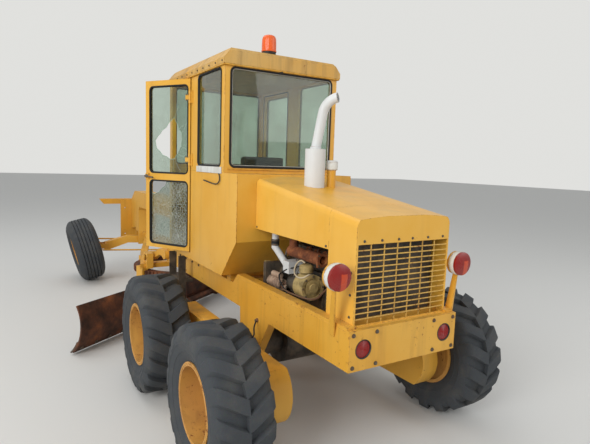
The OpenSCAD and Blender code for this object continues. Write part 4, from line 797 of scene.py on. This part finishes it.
cab = {
    "rearX": 1687, "frontX": 3200, "halfWidth": 576,
    "windowHalf": 516, "windowLow": 2042, "windowHigh": 2876,
    "quarterRear": 1754, "quarterFront": 2313,
    "corner": 42, "paneDepth": 12, "doorPaneDepth": 18,
    "hinge": (2508, 592), "doorOpen": 30.6,      # degrees
    "panes": [(1201, 1866), (1948, 2822)], "paneRear": 2546, "paneFront": 3052,
    "leaf": ((2530, 1172), (3096, 2866)),
    "handle": [(3085, 617, 1907), (3060, 620, 1906), (3010, 622, 1901), (2972, 618, 1896)],
    "hingeRows": (2534, 2556), "hingeHeights": (2064, 2116, 2674, 2726),
}


# Outline of a rubber seal: over the sheet, then in over the glass
def sealOutline(depth, width):
    return [(-width, 0.3), (-width, 4), (2 - width, 6), (2, 7), (width * 0.6, 5), (width, -2),
            (width + 2, 0.5 - depth), (width - 3, 0.2 - depth), (1.5, -2), (1.5, 0.3)]


# A wide seal has a bright filler strip in it
def addSeal(shape, loop, outward, depth, strip=False):
    addSweep(shape, loop, outward, sealOutline(depth, 11 if strip else 7.5), 0)
    if strip:
        addSweep(shape, loop, outward, [(8, 1.5), (9.5, 5.5), (13.5, 3), (14.5, -2)], 1)


def makeCabSeals(settings):
    shape = bmesh.new()
    half, low, high = settings["windowHalf"], settings["windowLow"], settings["windowHigh"]
    depth, corner = settings["paneDepth"], settings["corner"]
    flat = roundedLoop((-half, low), (half, high), corner)
    addSeal(shape, [(settings["rearX"], y, z) for y, z in flat], (-1, 0, 0), depth, strip=True)
    addSeal(shape, [(settings["frontX"], y, z) for y, z in flat], (1, 0, 0), depth, strip=True)
    flat = roundedLoop((settings["quarterRear"], low), (settings["quarterFront"], high), corner)
    for side in (1, -1):
        addSeal(shape, [(x, side * settings["halfWidth"], z) for x, z in flat], (0, side, 0), depth)
    finishPiece("windowSeals", shape, machine, ["sealRubber", "brightTrim"], "chassis")


def doorPlace(side, degrees):
    hinge = Vector((*cab["hinge"], 0))
    swing = Matrix.Rotation(math.radians(degrees), 4, "Z")
    flip = Matrix.Scale(side, 4, (0, 1, 0))
    return machine @ flip @ Matrix.Translation(hinge) @ swing @ Matrix.Translation(-hinge)


def makeDoorTrim(name, side, degrees, settings):
    shape = bmesh.new()
    for low, high in settings["panes"]:
        flat = roundedLoop((settings["paneRear"], low), (settings["paneFront"], high), settings["corner"])
        loop = [(x, settings["halfWidth"], z) for x, z in flat]
        addSeal(shape, loop, (0, 1, 0), settings["doorPaneDepth"])
    # Weather strip round the leaf's inner face, and the turning handle on its latch case
    edge = roundedLoop(*settings["leaf"], 20, 3)
    addTube(shape, [(x, 534, z) for x, z in edge], 6, 8, 0, closed=True)
    x, y, z = settings["handle"][0]
    addLathe(shape, [(0, 0), (19, 0), (19, 6), (15, 9), (9, 11), (9, 30), (0, 30)], 24,
             axisTo((x, y - 26, z), (0, 1, 0)), 1)
    addTube(shape, smoothPath(settings["handle"], 5), 8.5, 12, 1)
    finishPiece(name + "Trim", shape, doorPlace(side, degrees), ["sealRubber", "oldBolt"], name)
    spots = [((x, 588.2, z), (0, 1, 0)) for z in settings["hingeHeights"] for x in settings["hingeRows"]]
    addBolts(name + "_hingeBolts", spots, 5.5, "oldBolt", name, doorPlace(side, degrees))


makeCabSeals(cab)
makeDoorTrim("door_left", 1, cab["doorOpen"], cab)
makeDoorTrim("door_right", -1, 0, cab)

# Broken pane of the open door: an upper pane with a jagged hole and a crazed lower one
brokenPane = {
    # Middle plane of the sheet, and the plane its cracks are drawn in
    "thick": 5.4, "place": 555, "crackPlace": 558.4,
    # Distance along the leaf from its hinge, and height, of the hole's corners
    "hole": [(232, 2511), (214, 2476), (188, 2444), (174, 2394), (135, 2355), (128, 2295), (140, 2224),
             (179, 2154), (205, 2128), (218, 2102), (246, 2092), (280, 2087), (333, 2115), (389, 2129),
             (423, 2165), (471, 2200), (490, 2277), (452, 2326), (418, 2352), (398, 2381), (342, 2411),
             (311, 2452), (268, 2486)],
    "lowHole": [(330, 1862), (352, 1812), (396, 1786), (441, 1742), (508, 1719), (540, 1736), (541, 1820),
                (530, 1858), (500, 1863), (420, 1864)],
    "middle": (300, 2290),
    "cracks": 15,
}


def paneMesh(name, outer, hole, thick):
    data = bpy.data.curves.new(name, "CURVE")
    data.dimensions = "2D"
    data.fill_mode = "BOTH"
    data.extrude = thick / 2
    for loop in (outer, hole):
        spline = data.splines.new("POLY")
        spline.points.add(len(loop) - 1)
        spline.use_cyclic_u = True
        for point, (x, y) in zip(spline.points, loop):
            point.co = (x, y, 0, 1)
    holder = linkObject(name, data)
    mesh = evaluatedMesh(holder)
    bpy.data.objects.remove(holder)
    return mesh


def makeBrokenPane(settings):
    hingeX = cab["hinge"][0]
    rear, front = cab["paneRear"] - hingeX + 0.4, cab["paneFront"] - hingeX - 0.4
    stand = Matrix(((1, 0, 0, hingeX), (0, 0, -1, settings["place"]), (0, 1, 0, 0), (0, 0, 0, 1)))
    shape = bmesh.new()
    lower, upper = cab["panes"]
    for index, (span, hole) in enumerate(((upper, settings["hole"]), (lower, settings["lowHole"]))):
        outer = roundedLoop((rear, span[0] + 0.4), (front, span[1] - 0.4), cab["corner"])
        mesh = paneMesh("pane", outer, hole, settings["thick"])
        mesh.transform(stand)
        before = len(shape.faces)
        shape.from_mesh(mesh)
        shape.faces.ensure_lookup_table()
        for face in shape.faces[before:]:
            face.material_index = index * 2
    # Cracks run out from the hole's corners towards the seal
    source = random.Random(7)
    for k in range(settings["cracks"]):
        start = Vector(settings["hole"][(k * 3) % len(settings["hole"])])
        along = (start - Vector(settings["middle"])).normalized()
        point = start.copy()
        path = []
        for step in range(source.randint(4, 8)):
            path.append((hingeX + point.x, settings["crackPlace"], point.y))
            bend = source.uniform(-0.45, 0.45)
            along = Matrix.Rotation(bend, 2) @ along
            point = point + along * source.uniform(16, 42)
            if not (rear + 4 < point.x < front - 4 and upper[0] + 6 < point.y < upper[1] - 6):
                break
        if len(path) > 1:
            addTube(shape, path, 0.9, 5, 1)
    for loop in (settings["hole"], settings["lowHole"]):
        edge = [(hingeX + x, settings["place"], z) for x, z in loop]
        addTube(shape, edge, 2.9, 6, 1, closed=True)
    finishes = ["paneGlass", "glassEdge", "crazedGlass"]
    finishPiece("brokenPane", shape, doorPlace(1, cab["doorOpen"]), finishes, "door_left",
                ["door_glass_left"])


makeBrokenPane(brokenPane)
print("cab glass made")

# Sill bands, drip rails, bent grab wire and wiper's pivot of the cab, and the air cleaner's inlet cap; the
# sill bands' pale whiteness is a painted sky reflection of a top-lit ledge
cabTrim = {
    "sillRear": 1722, "sillFront": 2330, "sillLow": 1978, "sillHigh": 2036,
    "dripRear": 1666, "dripFront": 3210, "dripHalf": 590, "dripHeight": 2893,
    "grab": [(2144, 1904), (2060, 1899), (1950, 1890), (1840, 1884), (1772, 1893), (1740, 1922), (1752, 1956),
             (1784, 1981)],
    "wire": 5.5, "wiper": (1686, 40, 2888), "capPlace": (974, -50, 0),
    "cap": [(36, 2040), (49, 2047), (49.5, 2052), (49, 2104), (46, 2111), (36, 2118.6), (20, 2120.5),
            (0, 2121), (0, 2118.4), (33, 2118.2), (47.3, 2106), (47.3, 2048), (36, 2041)],
}


def makeCabTrim(settings):
    shape = bmesh.new()
    half, height = settings["dripHalf"], settings["dripHeight"]
    for side in (1, -1):
        near, far = sorted((side * 577, side * 585.5))
        # Sill band: a pale sheet over the ledge, whose whiteness is a painted sky reflection
        addBox(shape, (settings["sillRear"], near, settings["sillLow"]),
               (settings["sillFront"], far, settings["sillHigh"]), 2.5, 0)
        drip = [(settings["dripRear"] + 2, side * half, height), (2400, side * (half + 0.5), height),
                (settings["dripFront"], side * half, height)]
        addTube(shape, drip, 6, 8, 1)
    addTube(shape, [(settings["dripRear"] - 2, y, height) for y in (5 - half, half - 5)], 6, 8, 1)
    grab = [(x, 580 + 12 * math.sin(math.pi * k / 7), z) for k, (x, z) in enumerate(settings["grab"])]
    addTube(shape, smoothPath(grab, 5), settings["wire"], 10, 2)
    addLathe(shape, [(0, 0), (20, 0), (20, 12), (13, 17), (7, 18), (7, 27), (0, 27)], 24,
             axisTo(settings["wiper"], (-1, 0, 0)), 2)
    addLathe(shape, settings["cap"], 48, Matrix.Translation(Vector(settings["capPlace"])), 0, closed=True)
    finishPiece("cabTrim", shape, machine, ["paleEnamel", "cabEnamel", "blackPlastic"], "chassis")


makeCabTrim(cabTrim)
print("cab trim made")


# Tail lamps, reflectors and the beacon's dome

lamps = {
    "face": 29, "half": 532, "height": 1425, "radius": 82, "rise": 12,
    # Lamp's body behind its lens: radius, distance behind the face
    "body": [(80.4, -12), (84, -12), (85, -16), (84.5, -40), (80.8, -52), (76, -66), (50, -72), (20, -73),
             (20, -66), (70, -64.5), (80.4, -56)],
    "reflectorFace": 9, "reflectorHalf": 353, "reflectorHeight": 968.5, "reflectorRadius": 56,
    "beacon": (1790, 110, 3070),
    "dome": [(0, -1), (66, -1), (68, 4), (68, 10), (65, 13), (65, 18), (64.5, 40), (63.5, 84), (61.5, 112),
             (57, 128), (48, 139), (34, 145), (16, 148), (0, 148.4)],
    "flutes": 24,
}


# Rings of prisms on a shallow dome, up to its rim
def lensProfile(radius, rise, rings, depth):
    profile = [(0, -depth), (radius, -depth), (radius, 2), (radius - 2, 4)]
    for k in range(rings * 2, 0, -1):
        share = (k - 0.5) / (rings * 2)
        profile.append(((radius - 3) * share, 4 + rise * (1 - share * share) + (0.9 if k % 2 else 0)))
    profile.append((0, 4 + rise))
    return profile


def makeLamps(settings):
    shape = bmesh.new()
    rear = (-1, 0, 0)
    for side in (1, -1):
        middle = (settings["face"], side * settings["half"], settings["height"])
        where = axisTo(middle, rear)
        before = len(shape.faces)
        addLathe(shape, lensProfile(settings["radius"], settings["rise"], 9, 14), 64, where, 0)
        shape.faces.ensure_lookup_table()
        # The turn signal's part is orange: a strip from the middle down
        for face in shape.faces[before:]:
            point = face.calc_center_median()
            across, up = point.y - middle[1], point.z - middle[2]
            if -44 < across < 2 and up < 22:
                face.material_index = 1
        addLathe(shape, settings["body"], 64, where, 2, closed=True)
        radius = settings["reflectorRadius"]
        across = side * settings["reflectorHalf"]
        where = axisTo((settings["reflectorFace"], across, settings["reflectorHeight"]), rear)
        addLathe(shape, lensProfile(radius, 2, 12, 4), 56, where, 0)
        rim = [(-0.5, 1), (-0.5, 8), (2, 11), (6, 11), (7, 7), (2, 6.8), (2, 1)]
        addLathe(shape, [(radius + wider, along) for wider, along in rim], 56, where, 3, closed=True)
    finishes = ["redLens", "orangeLens", "paleEnamel", "darkIron"]
    finishPiece("rearLamps", shape, machine, finishes, "chassis", ["lamp_lenses"])


# Fluted dome on a black foot
def makeBeacon(settings):
    shape = bmesh.new()
    middle = Vector(settings["beacon"])
    addLathe(shape, settings["dome"], 96, Matrix.Translation(middle), 0)
    for vert in shape.verts:
        offset = vert.co - middle
        if 20 < offset.z < 140:
            swell = 1 + 0.012 * math.cos(settings["flutes"] * math.atan2(offset.y, offset.x))
            vert.co.x = middle.x + offset.x * swell
            vert.co.y = middle.y + offset.y * swell
    addLathe(shape, [(53, -25), (60, -25), (63, -20), (63, -4), (66.5, -0.5), (53, -0.5)], 64,
             Matrix.Translation(middle), 1, closed=True)
    finishPiece("beaconDome", shape, machine, ["amberDome", "blackPlastic"], "chassis", ["beacon"])


makeLamps(lamps)
makeBeacon(lamps)

# Engine: hoses, pipes, belt, cables and clamps that the open bay shows
engine = {
    # Radius, finish number, points
    "runs": [
        (6.5, 0, [(772, 300, 1354), (810, 316, 1366), (836, 340, 1330), (812, 366, 1280), (750, 374, 1258),
                  (690, 366, 1266), (666, 334, 1288), (676, 300, 1282)]),
        (4.0, 1, [(1020, 262, 1180), (1040, 250, 1240), (1020, 220, 1330), (1000, 180, 1392),
                  (1000, 138, 1400)]),
        (7.0, 2, [(1006, 290, 1152), (1032, 312, 1138), (1020, 352, 1122), (880, 383, 1120), (760, 386, 1124),
                  (640, 384, 1130), (540, 380, 1146), (470, 376, 1178), (420, 372, 1226), (370, 366, 1262),
                  (336, 352, 1276)]),
        (24, 3, [(478, -90, 1436), (452, -96, 1500), (430, -130, 1580), (392, -180, 1634), (330, -205, 1642),
                 (256, -210, 1636)]),
        (24, 3, [(420, 100, 1080), (398, 160, 1076), (370, 215, 1088), (320, 240, 1120), (256, 245, 1150)]),
        (6, 3, [(1128, 300, 1203), (1090, 336, 1196), (1030, 360, 1160), (960, 368, 1128), (890, 384, 1118),
                (862, 398, 1106)]),
        (5, 3, [(1120, 286, 1203), (1080, 310, 1226), (1010, 296, 1262), (930, 214, 1296), (900, 138, 1310)]),
        (9, 1, [(1170, 178, 1262), (1176, 214, 1290), (1182, 226, 1340), (1182, 200, 1396),
                (1172, 138, 1410)]),
    ],
    "fuelLines": 4, "pumpX": 860, "pumpPitch": 42, "injectorX": 667, "injectorPitch": 115,
    # Height, radius and starting half turn of the two pulleys
    "beltX": 368, "pulleys": [(1330, 71, 0), (1090, 86, 0.5)],
    "sleeve": [(28.4, 0), (33, 0), (33.5, 4), (33, 8), (33, 44), (33.5, 48), (33, 52), (28.4, 52)],
    "clamps": [((1287, 270, 1414), (0, 0, 1), 34), ((1287, 270, 1448), (0, 0, 1), 34),
               ((452, -96, 1500), (-0.2, 0.1, 1), 25.5), ((290, -208, 1640), (1, 0, 0), 25.5),
               ((300, 240, 1130), (1, 0, 0.4), 25.5)],
}


def makeEngineRuns(settings):
    shape = bmesh.new()
    for radius, finish, points in settings["runs"]:
        addTube(shape, smoothPath(points, 7), radius, 10 if radius < 10 else 18, finish)
    for k in range(settings["fuelLines"]):
        x = settings["pumpX"] + settings["pumpPitch"] * k
        far = settings["injectorX"] + settings["injectorPitch"] * k
        line = [(x, 262, 1200), (x, 262, 1232), (x + (far - x) * 0.3, 236, 1290), (far, 196, 1350),
                (far, 184, 1440), (far, 150, 1458), (far, 136, 1458)]
        addTube(shape, smoothPath(line, 6), 3.2, 8, 1)
        for spot, way in (((x, 262, 1205), (0, 0, 1)), ((far, 141, 1458), (0, 1, 0))):
            addLathe(shape, [(0, -4), (8.5, -4), (8.5, 8), (5, 11), (0, 11)], 6, axisTo(spot, way), 1)
    # Belt round the fan's pulley and the crankshaft's
    belt = []
    for height, radius, start in settings["pulleys"]:
        for k in range(13):
            y, z = onCircle(radius, start + k / 24)
            belt.append((settings["beltX"], y, height + z))
    addTube(shape, belt, 7, 6, 3, closed=True)
    # Rubber sleeve on the intake pipe, and worm clamps
    addLathe(shape, settings["sleeve"], 36, Matrix.Translation(Vector((1287, 270, 1405))), 3, closed=True)
    for spot, way, radius in settings["clamps"]:
        where = axisTo(spot, way)
        band = [(radius - 1, -6), (radius + 1.2, -6), (radius + 1.2, 6), (radius - 1, 6)]
        addLathe(shape, band, 36, where, 1, closed=True)
        worm = where @ Matrix.Translation(Vector((radius + 5, 0, 0)))
        addBox(shape, (-5, -9, -5), (5, 9, 5), 1.5, 1, worm)
    finishes = ["paleHose", "oldBolt", "brownHose", "sealRubber"]
    finishPiece("engineRuns", shape, machine, finishes, "chassis")


makeEngineRuns(engine)


# Places on a circle from a first angle in radians, each with the direction that its bolt faces
def ringSpots(middle, way, radius, count, first=0.0):
    where = axisTo(middle, way)
    shares = [first / (2 * math.pi) + k / count for k in range(count)]
    return [(where @ Vector((*onCircle(radius, share), 0)), way) for share in shares]


rearward, upward = (-1, 0, 0), (0, 0, 1)


def makeEngineBolts():
    spots = ringSpots((655, 300, 1190), rearward, 85, 8)
    spots += [((558, 285 + y, 1410 + z), rearward) for y in (-38, 38) for z in (-36, 36)]
    spots += [((610 + 115 * k + x, 154.5, 1395), (0, 1, 0)) for k in range(4) for x in (-35, 35)]
    for k in range(7):
        for side in (1, -1):
            spots.append(((500 + 110 * k, side * 60, 1500), upward))
            spots.append(((480 + 118 * k, side * 130, 1430), upward))
    spots += ringSpots((1095, 296, 1112), rearward, 38, 3)
    spots += ringSpots((852, 262, 1152), rearward, 44, 3)
    addBolts("engineBolts", spots, 6, "oldBolt", "chassis")


def makeFrameBolts():
    spots = []
    for side in (1, -1):
        spots += [((0, side * y, z), rearward) for y in (434, 250) for z in (862, 1066)]
        spots += [((x, side * 463, 1000), (0, side, 0)) for x in (2560, 2760, 2960, 3160)]
    addBolts("frameBolts", spots, 10, "oldBolt", "chassis")


# Screws of the hood, the roof's skirt, the grille's header and the cowl
def makeSheetScrews():
    spots = []
    for side in (1, -1):
        spots += [((x, side * 400, 1552), (0, side, 0)) for x in (372, 1372)]
        spots += [((1700 + 148 * k, side * 595, 2922), (0, side, 0)) for k in range(11)]
        spots += [((54, side * (60 + 140 * k), 1628), rearward) for k in range(3)]
        spots += [((95, side * 400, z), (0, side, 0)) for z in (1150, 1290, 1430)]
    addBolts("sheetScrews", spots, 6.5, "oldBolt", "chassis")


# Tandem cases: bearing covers' bolts, a hatch with its plug, and tread plates on top
tandem = {
    "axleX": (638.5, 2101.5), "axleZ": 521, "cover": 150, "coverBolts": 12, "firstBolt": 0.26,
    "hatch": ((1180, 478), (1560, 722)), "out": 775, "plug": (1370, 600),
    "treadX": (800, 1640), "treadLength": 190,
}


def makeTandemTrim(name, side, settings):
    out = (0, side, 0)
    far = side * settings["out"]
    spots = []
    for x in settings["axleX"]:
        middle = (x, side * 767, settings["axleZ"])
        spots += ringSpots(middle, out, settings["cover"], settings["coverBolts"], settings["firstBolt"])
    spots += [((1210 + 80 * k, far, z), out) for k in range(5) for z in (700, 500)]
    addBolts("tandemBolts" + name.title(), spots, 9, "oldBolt", "tandem_" + name)
    shape = bmesh.new()
    (rear, low), (front, high) = settings["hatch"]
    inner, outer = sorted((side * 766.5, far))
    addBox(shape, (rear, inner, low), (front, outer, high), 4, 0)
    plug = axisTo((settings["plug"][0], far, settings["plug"][1]), out)
    addLathe(shape, [(0, -2), (26, -2), (26, 9), (20, 12), (0, 12)], 8, plug, 1)
    inner, outer = sorted((side * 628, side * 742))
    for x in settings["treadX"]:
        addBox(shape, (x, inner, 710), (x + settings["treadLength"], outer, 716.5), 2.5, 0)
    finishes = ["frameEnamel", "oldBolt"]
    finishPiece("tandemCover" + name.title(), shape, machine, finishes, "tandem_" + name)


# Bolts of the cutting edge, in the mouldboard's hollow
bladeTrim = {"circleX": 4330, "turn": 36, "arcX": 330, "arcZ": 330, "radius": 438.3, "down": 36, "count": 20}


def makeBladeBolts(settings):
    turn = Matrix.Rotation(math.radians(settings["turn"]), 4, "Z")
    where = machine @ Matrix.Translation(Vector((settings["circleX"], 0, 0))) @ turn
    across = math.cos(math.radians(settings["down"]))
    down = math.sin(math.radians(settings["down"]))
    x = settings["arcX"] - settings["radius"] * across
    z = settings["arcZ"] - settings["radius"] * down
    spots = [((x, -1900 + 200 * k, z), (-across, 0, -down)) for k in range(settings["count"])]
    addBolts("bladeBolts", spots, 14, "oldBolt", "blade", where)


makeEngineBolts()
makeFrameBolts()
makeSheetScrews()
makeTandemTrim("left", 1, tandem)
makeTandemTrim("right", -1, tandem)
makeBladeBolts(bladeTrim)

# Small fittings: weld beads, serrated step treads and brake hoses, then the dash's gauges and switches
fittings = {
    "weld": 3.2,
    "seam": [(1401, 1423), (1699, 1085), (3200, 1085)],
    "hose": [(1200, 462, 812), (1190, 486, 800), (1150, 520, 770), (1110, 540, 728), (1130, 552, 704),
             (1200, 556, 693), (1290, 560, 690), (1350, 560, 684), (1364, 560, 674)],
    "steps": (540, 800), "teeth": 26, "toothPitch": 12,
    "gauges": (-210, -70, 70, 210),
}


def makeFittings(settings):
    shape = bmesh.new()
    for side in (1, -1):
        rail = [(40 + 15 * k, side * 462.6, 1083 + random.uniform(-0.8, 0.8)) for k in range(104)]
        addTube(shape, rail, 2.6, 6, 2)
        # Brake hose in a loop from the saddle down to the tandem
        hose = [(x, side * y, z) for x, y, z in settings["hose"]]
        addTube(shape, smoothPath(hose, 6), 6.5, 10, 0)
        addLathe(shape, [(0, -2), (17, -2), (17, 10), (11, 14), (11, 24), (0, 24)], 6,
                 axisTo((1200, side * 463, 812), (0, side, 0)), 1)
        # Welded seam along the tub's lower edge, in short waves
        path = []
        for (x0, z0), (x1, z1) in zip(settings["seam"], settings["seam"][1:]):
            count = int(math.hypot(x1 - x0, z1 - z0) / 14)
            for k in range(count):
                share = k / count
                path.append((x0 + (x1 - x0) * share, side * (575.5 + random.uniform(-0.6, 0.6)),
                             z0 + (z1 - z0) * share + random.uniform(-0.8, 0.8)))
        addTube(shape, path, settings["weld"], 6, 2)
        addTube(shape, [(1401, side * 575.5, 1423 + 14 * k) for k in range(40)], settings["weld"], 6, 2)
        for low in settings["steps"]:
            for k in range(6):
                teeth = []
                for tooth in range(settings["teeth"]):
                    x = 2698 + settings["toothPitch"] * tooth
                    teeth += [(x + dx, side * (502 + 23 * k), low + dz)
                              for dx, dz in ((0, 24.5), (3, 30), (9, 30), (12, 24.5))]
                addTube(shape, teeth, 2.2, 4, 1)
    for x in (1687, 3200):
        for side in (1, -1):
            addTube(shape, [(x, side * 573, 1990 + 16 * k) for k in range(56)], 3, 6, 2)
    finishes = ["sealRubber", "oldBolt", "cabEnamel"]
    finishPiece("smallFittings", shape, machine, finishes, "chassis")


def makeGauges(settings):
    shape = bmesh.new()
    for y in settings["gauges"]:
        where = axisTo((3000, y, 1642), (-0.25, 0, 1))
        addLathe(shape, [(0, 0), (32, 0), (34, 5), (32, 8), (28, 8), (27, 5), (0, 5)], 32, where, 0)
        addLathe(shape, [(0, 5.4), (26, 5.4), (24, 6.6), (0, 7.2)], 32, where, 1)
    for k in range(6):
        addBox(shape, (3030, -150 + 56 * k, 1640), (3046, -136 + 56 * k, 1664), 3, 0)
    finishPiece("gauges", shape, machine, ["blackPlastic", "paneGlass"], "chassis")


makeFittings(fittings)
makeGauges(fittings)
print("fittings made")


# Seat: foam under vinyl, settled by a short cloth simulation, with piping and rows of stitches

cushions = {
    # Low corner, high corner, which way the crown faces, panel lines across
    "bottom": ((2114, -231, 1504), (2486, 231, 1598), 2, (2208, 2300, 2392)),
    "back": ((2044, -221, 1566), (2103, 221, 2136), 0, (1710, 1855, 2000)),
}
cloth = {
    "voxel": 0.009,     # metres
    "pressure": 4.0, "stiffness": 25, "frames": 12,
    "swell": 0.009,     # most that a point may move, metres
}


# What the cloth doesn't move: the side that rests on the seat's pan, and the panel lines
def heldPoints(points, low, face, lines):
    held = []
    for i, point in enumerate(points):
        x, z = (point.x - shiftX) * 1000, point.z * 1000
        along = x if face == 2 else z
        under = z < low[2] + 12 if face == 2 else x < low[0] + 12
        if under or any(abs(along - line) < 6 for line in lines):
            held.append(i)
    return held


def settleCloth(cushion, before, held, settings):
    modifier = cushion.modifiers.new("cloth", "CLOTH")
    modifier.settings.use_pressure = True
    modifier.settings.uniform_pressure_force = settings["pressure"]
    modifier.settings.tension_stiffness = settings["stiffness"]
    modifier.settings.compression_stiffness = settings["stiffness"]
    modifier.settings.effector_weights.gravity = 0
    modifier.collision_settings.use_collision = False
    modifier.point_cache.frame_start = 1
    modifier.point_cache.frame_end = settings["frames"]
    cushion.vertex_groups.new(name="held").add(held, 1.0, "REPLACE")
    modifier.settings.vertex_group_mass = "held"
    for number in range(1, settings["frames"] + 1):
        scene.frame_set(number)
    settled = evaluatedMesh(cushion)
    cushion.modifiers.clear()
    scene.frame_set(1)
    for vert, first in zip(settled.vertices, before):
        move = vert.co - first
        if move.length > settings["swell"]:
            vert.co = first + move * (settings["swell"] / move.length)
    return settled


def makeCushion(name, settings):
    low, high, face, lines = settings
    shape = bmesh.new()
    addBox(shape, low, high, 14, 0)
    mesh = bpy.data.meshes.new(name)
    shape.to_mesh(mesh)
    shape.free()
    mesh.transform(machine)
    cushion = linkObject(name, mesh)
    remesh = cushion.modifiers.new("even", "REMESH")
    remesh.mode = "VOXEL"
    remesh.voxel_size = cloth["voxel"]
    start = evaluatedMesh(cushion)
    cushion.modifiers.clear()
    cushion.data = start
    before = [v.co.copy() for v in start.vertices]
    cushion.data = settleCloth(cushion, before, heldPoints(before, low, face, lines), cloth)
    for polygon in cushion.data.polygons:
        polygon.use_smooth = True
    cushion.data.materials.append(material["seatVinyl"])
    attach(cushion, "chassis")
    return cushion


# Point of the cushion's surface above a place, or in front of it
def surfacePoint(tree, spot, face):
    start = machine @ Vector(spot)
    way = Vector((0, 0, -1)) if face == 2 else Vector((-1, 0, 0))
    hit = tree.ray_cast(start - way * 0.1, way)
    return hit[0] if hit[0] else start


def makeSeams(name, cushion, settings):
    low, high, face, lines = settings
    mesh = cushion.data
    tree = BVHTree.FromPolygons([v.co for v in mesh.vertices], [p.vertices for p in mesh.polygons])
    inside = machine.inverted()
    shape = bmesh.new()
    half = high[1] - 12
    for line in lines:
        for offset in (-7, 7):
            for k in range(int(2 * half / 11)):
                ends = []
                for y in (-half + 11 * k, -half + 11 * k + 7):
                    spot = (line + offset, y, high[2]) if face == 2 else (high[0], y, line + offset)
                    ends.append(inside @ surfacePoint(tree, spot, face))
                addTube(shape, ends, 1.2, 5, 1)
    # Piping round the crowned face
    if face == 2:
        flat = roundedLoop((low[0] + 3, low[1] + 3), (high[0] - 3, high[1] - 3), 24, 5)
        loop = [(x, y, high[2] - 3) for x, y in flat]
    else:
        flat = roundedLoop((low[1] + 3, low[2] + 3), (high[1] - 3, high[2] - 3), 24, 5)
        loop = [(high[0] - 3, y, z) for y, z in flat]
    addTube(shape, loop, 5, 8, 0, closed=True)
    finishPiece(name, shape, machine, ["seatVinyl", "seatThread"], "chassis")


for name, settings in cushions.items():
    cushion = makeCushion("seat_" + name, settings)
    if name == "bottom":
        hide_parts("seat_cushions")
    makeSeams("seatSeams_" + name, cushion, settings)
print("seat made")
